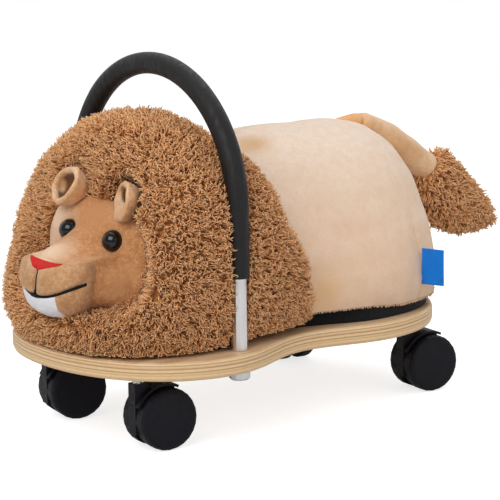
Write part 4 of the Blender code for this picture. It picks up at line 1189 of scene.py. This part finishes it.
def build_tuft():
    end = tail_line(90)[0][-1]
    ground = tuft_rows(end)
    normals = turned_out(grid_normals(ground), ground, ground.mean(1, keepdims=True))
    tuft = skin("tail_tuft_ground", ground, GROUND)
    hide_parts("tail_tuft")
    roots, outward = scattered(ground, normals, TUFT_LOCK_COUNT, 41)
    outward = unit(outward + TUFT_ALONG * 0.75 + np.array((0, 0, -0.15)))
    rng = np.random.default_rng(42)
    roots, leaning, tones, phases = locks(roots, outward, 0.6 * MM, 43, 0.28)
    total = len(roots)
    lengths, radii = draws(rng, total, (6.5 * MM, 9.5 * MM), (0.85 * MM, 1.25 * MM))
    curls = rng.choice((-1, 1), total) * rng.uniform(1.5, 3.5, total)
    strands("tail_tuft_curls", roots, leaning, lengths, radii, tones, curls, phases, CURLS,
            "curly_fleece", 44)
    total = JOINT_STRAND_COUNT
    angle = ring_angles(total)[:, None]
    around = np.cos(angle) * ACROSS + np.sin(angle) * TUFT_UP
    roots = end + around * TAIL_END_RADIUS * 0.9 + TUFT_ALONG * 1.5 * MM
    values = draws(rng, total, (5 * MM, 8 * MM), (0.9 * MM, 1.3 * MM), (0, 1), (-3, 3), (0, 6.28))
    strands("tail_joint_curls", roots, unit(around * 0.8 + TUFT_ALONG * 0.7), *values, CURLS,
            "curly_fleece", 46)


# Head

def shelf_z(x):
    """Height of the seam along the muzzle's top edge, which drops on the far side."""
    return (SHELF_Z + SHELF_NEAR_CLIMB * np.maximum(x - NOSE_HALF_WIDTH, 0)
            - SHELF_FAR_FALL * np.maximum(-x - NOSE_HALF_WIDTH + 1 * MM, 0))


def shelf_reach(x, z):
    """How far the muzzle's top and the cheeks beside it stand out of the face."""
    side = np.abs(x)
    away = ease((side - CHEEK_TURN_X) / CHEEK_TURN_REACH)
    fall = np.clip((z - shelf_z(x)) / SHELF_RISE, 0, 1)
    edge = (1 - away) * (1 - fall) ** 1.6 + away * (1 - ease((z - CHEEK_Z) / CHEEK_RISE))
    return np.clip(CHEEK_REACH + CHEEK_SLOPE * (CHEEK_X - side), 0, SHELF_REACH) * edge


def face_front(x, z):
    """The y of the face's front at x and z: a dome with a bridge down to the nose."""
    tall = np.where(z > FACE_Z, FOREHEAD_HEIGHT, FACE_HALF_HEIGHT)
    inside = np.maximum(room(FACE_POWER, (x, FACE_HALF_WIDTH), (z - FACE_Z, tall)), 0)
    lowest, highest = BRIDGE_PROFILE[0][0], BRIDGE_PROFILE[-1][0]
    place = np.maximum(z, BRIDGE_FOOT_Z) + BRIDGE_DROOP * np.abs(x / BRIDGE_HALF_WIDTH) ** 2.0
    place = np.clip(place, lowest + 0.1 * MM, highest - 0.1 * MM)
    bridge = curve_through(BRIDGE_PROFILE, place)[:, 0]
    bridge = smooth_max(bridge, shelf_reach(x, z), 1.6 * MM, 3.2 * MM)
    bridge = bridge * ease((z - FACE_FOOT_Z) / FACE_FOOT_RISE)
    rim = np.hypot(x, z - MUZZLE_Z) - MUZZLE_HALF_WIDTH
    dome = FACE_BULGE * inside ** (1 / FACE_POWER) + CHEEK_SWELL * (
        bell(rim, CHEEK_SWELL_WIDTH) * inside ** 0.4)
    front = smooth_max(dome, bridge, 2.5 * MM, 2.5 * MM)
    return FACE_Y - np.where(inside > 0, np.maximum(front, dome), dome)


def build_face():
    angle = ring_angles(1440)
    ring = np.column_stack([power_of(np.cos(angle), 2 / FACE_POWER),
                            power_of(np.sin(angle), 2 / FACE_POWER)])
    ring = even_ring(ring, 300)
    tall = np.where(ring[:, 1] > 0, FOREHEAD_HEIGHT, FACE_HALF_HEIGHT)
    front = []
    for size in np.sin(np.linspace(0, np.pi / 2, 120))[1:]:
        x = ring[:, 0] * FACE_HALF_WIDTH * size
        z = FACE_Z + ring[:, 1] * tall * size
        # Rings crowd together where the front turns in above the shelf
        step = z - shelf_z(x) - SHELF_RISE / 2
        z = z - 0.8 * step * bell(step, 7 * MM) * ease((CROWD_X - np.abs(x)) / 0.006)
        front.append(points_at(x, face_front(x, z), z))
    front = np.array(front)
    back = front[::-6].copy()
    depth = np.linspace(0, 1, len(back))
    back[:, :, 1] = FACE_Y + FACE_SINK * np.sin(depth * np.pi / 2)[:, None]
    rows = np.concatenate([front, back[1:]])
    points = rows.reshape(-1, 3)
    push = 0.35 * MM * wavy(points, 0.030, 14) + 0.15 * MM * wavy(points, 0.012, 15)
    sockets = np.zeros(len(points))
    for side, _, shift in EYES:
        away = np.hypot(points[:, 0] - side * EYE_X - shift, points[:, 2] - EYE_Z)
        sockets += bell(away, EYE_RADIUS * 1.15)
    points[:, 1] += np.where(points[:, 1] < FACE_Y, 1.8 * MM * sockets - push, 0)
    face = skin("face_plush", points.reshape(rows.shape), FACE_LOOK, HEAD_PLACE)
    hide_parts("face")


def mouth_z(x):
    """Height of the mouth line at x: a smile that rises to its ends."""
    return MOUTH_Z + MOUTH_CURVE * x ** 2


def muzzle_push(points):
    """How far each point of the muzzle moves out: pads, lips, chin and seams."""
    x, y, z = points.T
    side = np.abs(x)
    front = ease((MUZZLE_Y + 0.016 - y) / 0.014)
    above = z - mouth_z(x)
    upper = ease(above / 0.003)
    inside_mouth = ease((MOUTH_REACH + 0.001 - side) / 0.003)
    push = 1.6 * MM * bell(side - PAD_X, 0.014) * bell(z - PAD_Z, 0.012) * upper
    philtrum = ease((PHILTRUM_TOP_Z - z) / 0.004) * ease((above + 0.001) / 0.003)
    push -= 3.4 * MM * bell(x, 2.4 * MM) * philtrum
    push -= 1.4 * MM * bell(above, 1.6 * MM) * inside_mouth
    push -= 1.4 * MM * (1 - upper) * inside_mouth
    push += 1.2 * MM * bell(above + CHIN_BELOW_MOUTH, 0.008) * bell(x, 0.022)
    push -= 2.4 * MM * bell(x, 0.013) * ease((z - NOSE_DENT_Z) / 0.006)
    push -= 0.7 * MM * bell(side - CHIN_PATCH_X, 0.8 * MM) * (1 - upper)
    return push * front + 0.16 * MM * wavy(points, 0.012, 17)


def muzzle_rows():
    """The muzzle as rows from its bottom to its top, with lips, chin and seams."""
    angle = ring_angles(1440)
    back, far = np.sin(angle) > 0, np.cos(angle) < 0
    plan = np.where(back, MUZZLE_BACK_POWER, np.where(far, MUZZLE_FAR_POWER, MUZZLE_POWER))
    across, along = power_of(np.cos(angle), 2 / plan), power_of(np.sin(angle), 2 / plan)
    rows = []
    for turn in np.linspace(-np.pi / 2, np.pi / 2, 152)[1:-1]:
        share = math.sin(turn)
        tall = MUZZLE_RISE if share > 0 else MUZZLE_HALF_HEIGHT
        power = MUZZLE_TOP_POWER if share > 0 else MUZZLE_POWER
        wide = MUZZLE_HALF_WIDTH * (1 - abs(share) ** power) ** (1 / power)
        deep = (1 - abs(share) ** MUZZLE_POWER) ** (1 / MUZZLE_POWER)
        y = np.where(back, MUZZLE_BACK, MUZZLE_FRONT) * deep * along
        ring = even_ring(np.stack([wide * across, y], 1), 260)
        rows.append(points_at(ring[:, 0], ring[:, 1] + MUZZLE_Y, MUZZLE_Z + tall * share))
    rows = np.array(rows)
    normals = turned_out(grid_normals(rows), rows, np.array((0, MUZZLE_Y + 4 * MM, MUZZLE_Z)))
    points = rows.reshape(-1, 3)
    points = points + normals.reshape(-1, 3) * muzzle_push(points)[:, None]
    below, soft = shelf_z(points[:, 0]) - 0.2 * MM - points[:, 2], 0.5 * MM
    points[:, 2] += below - soft * np.logaddexp(below / soft, 0)
    return points.reshape(rows.shape)


def on_muzzle(rows, x, z):
    """Points on the muzzle's front at each x and z, read between its rows and columns."""
    front = rows[:, rows.shape[1] // 2:]
    index = np.arange(len(front))
    found = []
    for want_x, want_z in zip(x, z):
        column = np.array([np.interp(want_x, row[:, 0], np.arange(len(row))) for row in front])
        low = np.clip(column.astype(int), 0, front.shape[1] - 2)
        share = (column - low)[:, None]
        line = front[index, low] * (1 - share) + front[index, low + 1] * share
        line = line[np.abs(line[:, 0] - want_x) < 0.5 * MM]
        line = line[np.argsort(line[:, 2])]
        found.append((want_x, np.interp(want_z, line[:, 2], line[:, 1]), want_z))
    return np.array(found)


def build_muzzle():
    rows = muzzle_rows()
    muzzle = skin("muzzle_plush", rows, MUZZLE_LOOK, HEAD_PLACE)
    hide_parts("muzzle", "chin")

    x = np.linspace(-MOUTH_REACH, MOUTH_REACH, 90)
    line, radii = rounded_ends(on_muzzle(rows, x, mouth_z(x)), 1.25 * MM, 9)
    skin("mouth_line", tube(line, radii, 14, 0.8, (0, 0, 1)), THREAD, HEAD_PLACE)
    z = np.linspace(float(mouth_z(0.0)) + 0.2 * MM, NOSE_LINE_TOP_Z, 40)
    line = on_muzzle(rows, np.zeros(40), z)
    foot = np.exp(-(z - z[0]) / 0.0026)
    line[:, 1] -= 0.4 * MM + 2.2 * MM * foot
    radii = 0.85 * MM + 3.8 * MM * foot
    skin("nose_line", tube(line, radii, 14, 0.30), THREAD, HEAD_PLACE)
    build_nose(rows)


def build_nose(rows):
    """A coral patch with a dipped top edge, sewn over the end of the muzzle."""
    columns, steps = 41, 15
    across = np.linspace(-1, 1, columns)
    end = np.abs(across)
    top_z, top_y = NOSE_TOP_Z + 1.0 * MM * end ** 2 + 0.4 * MM, NOSE_TOP_Y + 3 * MM * end ** 2
    low_z, low_y = NOSE_LOW_Z + 8 * MM * end ** 0.95, NOSE_LOW_Y + 10.5 * MM * end ** 1.6
    inner = np.linspace(0, 1, steps)[:, None]
    x = np.repeat((across * NOSE_HALF_WIDTH + NOSE_LEAN * end)[None], steps, 0)
    z = low_z + (top_z - low_z) * inner
    y = low_y + (top_y - low_y) * inner
    skin_y = on_muzzle(rows, x.ravel(), np.minimum(z, NOSE_TOP_Z).ravel())[:, 1].reshape(x.shape)
    middle = np.sin(np.pi * inner)
    y = np.minimum(y, skin_y - 0.6 * MM) - NOSE_BULGE * middle * (1 - end ** 3)
    rim = NOSE_RIM * (1 - np.minimum(middle * 3.0, 1) * np.minimum((1 - end) * 12, 1))
    points = [points_at(x, y + back, z).reshape(-1, 3) for back in (rim, 2.0 * MM)]
    index = np.arange(x.size).reshape(x.shape)
    faces = np.stack([index[:-1, :-1], index[:-1, 1:], index[1:, 1:], index[1:, :-1]], 2)
    faces = faces.reshape(-1, 4)
    edge = np.concatenate([index[0], index[1:, -1], index[-1, -2::-1], index[-2:0:-1, 0]])
    after = np.roll(edge, -1)
    sides = np.stack([edge, x.size + edge, x.size + after, after], 1)
    faces = np.concatenate([faces, x.size + faces[:, (0, 3, 2, 1)], sides]).tolist()
    nose = add_mesh("nose_plush", np.concatenate(points), faces, NOSE_LOOK,
                    HEAD_PLACE)
    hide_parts("nose")


def build_eyes():
    """Glossy black domes that look a little outwards."""
    angle = ring_angles(64)
    profile = [(math.sin(a), EYE_DOME * math.cos(a)) for a in np.linspace(0, np.pi / 2, 26)[1:]]
    profile += [(size, depth * MM) for size, depth in EYE_BACK]
    rows = [points_at(EYE_RADIUS * size * np.cos(angle), -stand, EYE_RADIUS * size * np.sin(angle))
            for size, stand in profile]
    for side, name, shift in EYES[::-1]:
        x = side * EYE_X + shift
        base_y = face_front(np.array([x]), np.array([EYE_Z]))[0] + EYE_SINK
        place = (HEAD_PLACE @ Matrix.Translation((x, base_y, EYE_Z))
                 @ Matrix.Rotation(side * EYE_TURN, 4, "Z"))
        eye = skin("eye_" + name + "_glossy", rows, EYE_LOOK, place)
        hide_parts("eye_" + name)


def ear_profile(deep, outer, hollow, rise):
    """Half width, half height, depth and lift of an ear's rings, from its back to its hollow."""
    for s in np.linspace(0, 1, 26):
        width = math.sin(min(s * 1.25, 1) * math.pi / 2) ** 0.8 * (0.78 + 0.22 * s)
        yield *(outer * width), -deep * (1 - s), 0.0
    for turned in np.linspace(0, np.pi, 14)[1:-1]:
        size = (outer + hollow) / 2 + (outer - hollow) / 2 * math.cos(turned)
        yield *size, EAR_RIM * math.sin(turned), rise * turned / math.pi
    for s in np.linspace(1, 0.02, 24):
        width = math.sin(s * math.pi / 2) ** 0.7
        yield *(hollow * width), -HOLLOW_DEPTH * (1 - s ** 2), rise * s


def build_ears():
    """Two soft cups with fat rolled rims, which open forwards and up."""
    angle = ring_angles(96)
    for side, name, turn, pitch, roll, deep, centre, outer, hollow, rise in EARS:
        profile = ear_profile(deep, np.array(outer), np.array(hollow), rise)
        rows = np.array([points_at(wide * np.cos(angle), -out, tall * np.sin(angle) + up)
                         for wide, tall, out, up in profile])
        points = rows.reshape(-1, 3)
        forward = ease(1 - points[:, 1] / deep)
        points[:, 0] *= 1 - 0.12 * ease(-points[:, 2] / outer[1]) * forward
        points[:, 2] += 0.9 * MM * np.sin(points[:, 0] * 160 + side) * forward
        points += 0.30 * MM * (wavy(points, 0.011, 50 + side) * forward)[:, None]
        place = HEAD_PLACE @ Matrix.Translation(centre)
        for degrees, axis in ((-turn, "Z"), (-pitch, "X"), (roll, "Y")):
            place = place @ Matrix.Rotation(math.radians(degrees), 4, axis)
        ear = skin("ear_" + name + "_plush", rows, EAR_LOOK, place)
        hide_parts("ear_" + name)


# Hoop, pad, label and the solids that stay

def build_grip():
    """The foam sleeve along the hoop, with rounded ends that turn in to the tube."""
    angle = np.linspace(0, np.pi, 121)
    legs = np.linspace(GRIP_LOW.z, HOOP_CENTRE_Z, 24, endpoint=False)
    side = np.full(len(legs), HOOP_RADIUS)
    x = np.concatenate([side, HOOP_RADIUS * np.cos(angle), -side])
    z = np.concatenate([legs, HOOP_CENTRE_Z + HOOP_RADIUS * np.sin(angle), legs[::-1]])
    line = points_at(x, HANDLE_Y, z)
    radii = GRIP_RADIUS + 0.08 * MM * wavy(line, 0.05, 61)
    outer = tube(line, radii, 48, side=(0, 1, 0))
    rings = [(GRIP_RADIUS - inset * MM, rise) for inset, rise in GRIP_END_RINGS]
    rings += [(TUBE_RADIUS + gap * MM, rise) for gap, rise in BORE_RINGS]
    ends = []
    for place, towards in ((0, 1), (-1, -2)):
        out = unit(line[place] - line[towards])
        around = (outer[place] - line[place]) / radii[place]
        ends.append(np.array([line[place] + around * size + out * rise * MM
                              for size, rise in rings]))
    body = np.concatenate([ends[0][::-1], outer[1:-1], ends[1]])
    grip = skin("foam_sleeve", body, FOAM, loop=True)
    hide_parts("foam_grip")


def build_pad():
    """The black cloth base, from the pad's own solid with its edges rounded."""
    mesh = NODES["base_pad"].data.copy()
    mesh.materials.clear()
    pad = add_object("base_cloth", mesh, CLOTH, Matrix.Identity(4))
    round_edges(pad, PAD_EDGE, 3)
    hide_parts("base_pad")


def build_label():
    """A folded ribbon, bare on both sides, sewn into the panel seam."""
    out = np.linspace(0, 1, 30)
    s = np.concatenate([out, out[::-1]])
    face = np.repeat((1, -1), len(out))
    half = LABEL_HALF_THICK * (0.55 + 0.45 * np.sin(np.pi * np.minimum(s, 0.98)))
    turned = (np.maximum(s, LABEL_FOLD_SHARE) - LABEL_FOLD_SHARE) / (1 - LABEL_FOLD_SHARE)
    half = half * (np.sqrt(np.maximum(1 - turned ** 2, 0)) * 0.9 + 0.1)
    x = LABEL_NEAR - LABEL_SEWN_IN + (LABEL_WIDTH + LABEL_SEWN_IN) * s
    rows = []
    for height in np.linspace(0, 1, 24):
        wave = LABEL_WAVE * np.sin(3.0 * height + 2.2 * s) * s
        z = LABEL_LOW + (LABEL_HIGH - LABEL_LOW) * height
        rows.append(points_at(x, face * half + wave, z))
    turn = Matrix.Translation((0, RUMP_ROUND_Y, 0)) @ Matrix.Rotation(LABEL_TURN, 4, "Z")
    label = skin("side_ribbon", rows, RIBBON, SHIFT @ turn)
    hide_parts("side_label")


def dress_cad():
    """Better finishes on the solids that stay, and soft edges on the moulded ones."""
    looks = {
        ("base_board", "mounting_plate"): PLY,
        ("handle_tube",): STEEL,
        ("caster_stem", "caster_axle", "plush_screw", "tee_nut"): STEEL_PLAIN,
        ("handle_bolt", "handle_washer", "handle_insert"): ZINC,
        ("wheel_",): NYLON_WHEEL,
        ("caster_housing",): NYLON_HOUSING,
    }
    for name, node in NODES.items():
        for starts, look in looks.items():
            if name.startswith(starts):
                node.data.materials.clear()
                node.data.materials.append(look)
        if name.startswith(("wheel_", "caster_housing")):
            round_edges(node, MOULDED_EDGE, 2, angle_limit=math.radians(35), harden_normals=True)


# Studio

def build_camera():
    data = configured(bpy.data.cameras.new("camera"), lens=CAMERA_LENS_MM,
                      sensor_width=CAMERA_SENSOR_MM, sensor_fit="HORIZONTAL")
    axes = Matrix((CAMERA_RIGHT, CAMERA_UP, CAMERA_BACK)).transposed().to_4x4()
    place = Matrix.Translation(CAMERA_PLACE) @ axes
    bpy.context.scene.camera = linked("camera", data, matrix_world=place)


def build_studio():
    """Area lights, and a world that the camera sees as white and metal as a soft sweep."""
    scene = bpy.context.scene
    scene.view_settings.view_transform = "Standard"
    for name, place, (width, height), watts in LIGHTS:
        data = configured(bpy.data.lights.new(name, "AREA"), shape="RECTANGLE", size=width,
                          size_y=height, energy=watts)
        towards = (LIGHT_AIM - Vector(place)).to_track_quat("-Z", "Y").to_euler()
        linked(name, data, location=place, rotation_euler=towards)

    scene.world = bpy.data.worlds.new("studio")
    scene.world.use_nodes = True
    made = Nodes(scene.world.node_tree)
    path = made.node("ShaderNodeLightPath").outputs
    seen = made.math("MAXIMUM", path["Is Camera Ray"], path["Is Transmission Ray"])
    direction = made.node("ShaderNodeTexCoord").outputs["Generated"]
    behind = made.node("ShaderNodeVectorMath", {0: direction, 1: BACKDROP_DIRECTION},
                       operation="DOT_PRODUCT").outputs["Value"]
    level = 0.50
    for share, high in ((path["Is Glossy Ray"], made.range(behind, -0.2, 0.4, 0.30, 1.0)),
                        (seen, 1.0)):
        level = made.node("ShaderNodeMix", {0: share, 2: level, 3: high}).outputs[0]
    made.put(made.tree.nodes["Background"], {"Strength": level, "Color": (1, 1, 1)})


def build_floor():
    """A white floor whose own light fills it out, so that only soft shadows show."""
    bm = bmesh.new()
    bmesh.ops.create_circle(bm, cap_ends=True, radius=FLOOR_RADIUS, segments=48)
    mesh = bpy.data.meshes.new("floor")
    bm.to_mesh(mesh)
    bm.free()
    material = bpy.data.materials.new("floor_white")
    material.use_nodes = True
    made = Nodes(material.node_tree)
    made.tree.nodes.remove(made.tree.nodes["Principled BSDF"])
    path = made.node("ShaderNodeLightPath").outputs
    strength = 0.0
    for output, level in (("Is Camera Ray", FLOOR_GLOW), ("Is Transmission Ray", FLOOR_GLOW),
                          ("Is Glossy Ray", FLOOR_GLOW / 5)):
        strength = made.math("MULTIPLY_ADD", path[output], level, strength)
    diffuse = made.node("ShaderNodeBsdfDiffuse", {"Color": (FLOOR_GREY,) * 3}).outputs[0]
    glow = made.node("ShaderNodeEmission", {"Strength": strength}).outputs[0]
    both = made.node("ShaderNodeAddShader", {0: diffuse, 1: glow}).outputs[0]
    made.put(made.tree.nodes["Material Output"], {"Surface": both})
    mesh.materials.append(material)
    linked("floor", mesh)


PLY = plywood()
STEEL = metal("satin_tube_look", (0.82, 0.80, 0.80), 0.34, 500.0)
STEEL_PLAIN = metal("bright_steel_look", (0.60, 0.60, 0.62), 0.28, 700.0)
ZINC = metal("zinc_look", (0.66, 0.67, 0.68), 0.32, 300.0)
NYLON_WHEEL = moulded("nylon_wheel_look", (0.0042, 0.0037, 0.0078), 0.48)
NYLON_HOUSING = moulded("nylon_housing_look", (0.0065, 0.0058, 0.0095), 0.46)
FOAM = foam_rubber()
CLOTH = woven("base_cloth_look", (0.008, 0.008, 0.010), 0.6, 0.9, (0.004, 0.004, 0.005))
RIBBON = woven("ribbon_look", (0.0, 0.22, 0.82), 0.35, 0.55, (0.0, 0.16, 0.66))
# Rump: painted shade in the creases at the collar and low on the side, painted light on the top
RUMP_LOOK = velour("rump_velour_look", PALE, PALE_DEEP, PALE_BRIGHT,
                   ((COLLAR_FOLD, 0.026, ORANGE_CREASE_SHADE), (LOW_FOLD, 0.028, (0.74, 0.46, 0.24))),
                   top=PALE_LIT_TOP)
# Hem pile: painted shade at the roots, painted highlight at the tips
HEM_LOOK = fleece("hem_pile_look", PALE_DEEP, PALE, PALE_BRIGHT, PALE)
# Tail: the stub's own orange, and painted light on the top
TAIL_LOOK = velour("tail_velour_look", *TAIL_TAN, ((TAIL_STUB, 0.036, (0.78, 0.38, 0.14)),),
                   top=CREAM_PAINTED_LIGHT)
# Tints of the face: painted light on the far temple and the bridge, painted shade in the two eye
# sockets, painted light on the near cheek, and a darker brow
FACE_LOOK = velour("face_velour_look", *TAN,
                   (((-0.046, -0.166, 0.166), 0.044, CREAM_PAINTED_LIGHT), ((-0.004, -0.212, 0.160), 0.030, CREAM_PAINTED_LIGHT),
                    ((EYE_X, -0.172, EYE_Z), 0.0125, (0.36, 0.17, 0.075)),
                    ((-EYE_X, -0.172, EYE_Z), 0.0120, (0.46, 0.24, 0.12)),
                    ((0.044, -0.176, 0.134), 0.024, (0.68, 0.36, 0.16)),
                    ((0.006, -0.172, 0.186), 0.030, (0.56, 0.265, 0.110))), grain=0.7)
# Muzzle: painted light on its top by the nose, painted shade on its near side against the cheek; the
# chin's white is its own colour
MUZZLE_LOOK = velour("muzzle_velour_look", *MUZZLE_TAN,
                     (((0, -0.222, 0.156), 0.020, CREAM_PAINTED_LIGHT), ((0.0345, -0.185, 0.140), 0.016, TAN[1])),
                     mask=(chin_share, CHIN_WHITE), grain=0.7)
# Ears: the hollow's lining darkened with painted shade, painted light on the tops
EAR_LOOK = velour("ear_velour_look", *EAR_TAN, mask=(ear_hollow_shade_share, EAR_LINING_AND_SHADE), top=CREAM_PAINTED_LIGHT,
                  grain=0.6)
NOSE_LOOK = felt("nose_felt_look", (0.60, 0.026, 0.022), (0.48, 0.018, 0.015))
EYE_LOOK = gloss_black()
THREAD = satin_thread("black_thread_look", (0.006, 0.006, 0.007))
# Ground under the curls: dark cloth with painted shade in the pits
GROUND = fleece_ground("fleece_ground_look", (0.38, 0.155, 0.050), (0.60, 0.280, 0.100))
CURLS = fleece("curls_look", FUR_ROOT_SHADE, FUR_MIDDLE, FUR_TIP_HIGHLIGHT, FUR_SHADE)

for build in (build_camera, build_studio, build_floor, dress_cad, build_pad, build_grip,
              build_rump, build_mane, build_face, build_muzzle, build_eyes, build_ears,
              build_tail, build_tuft, build_label):
    build()
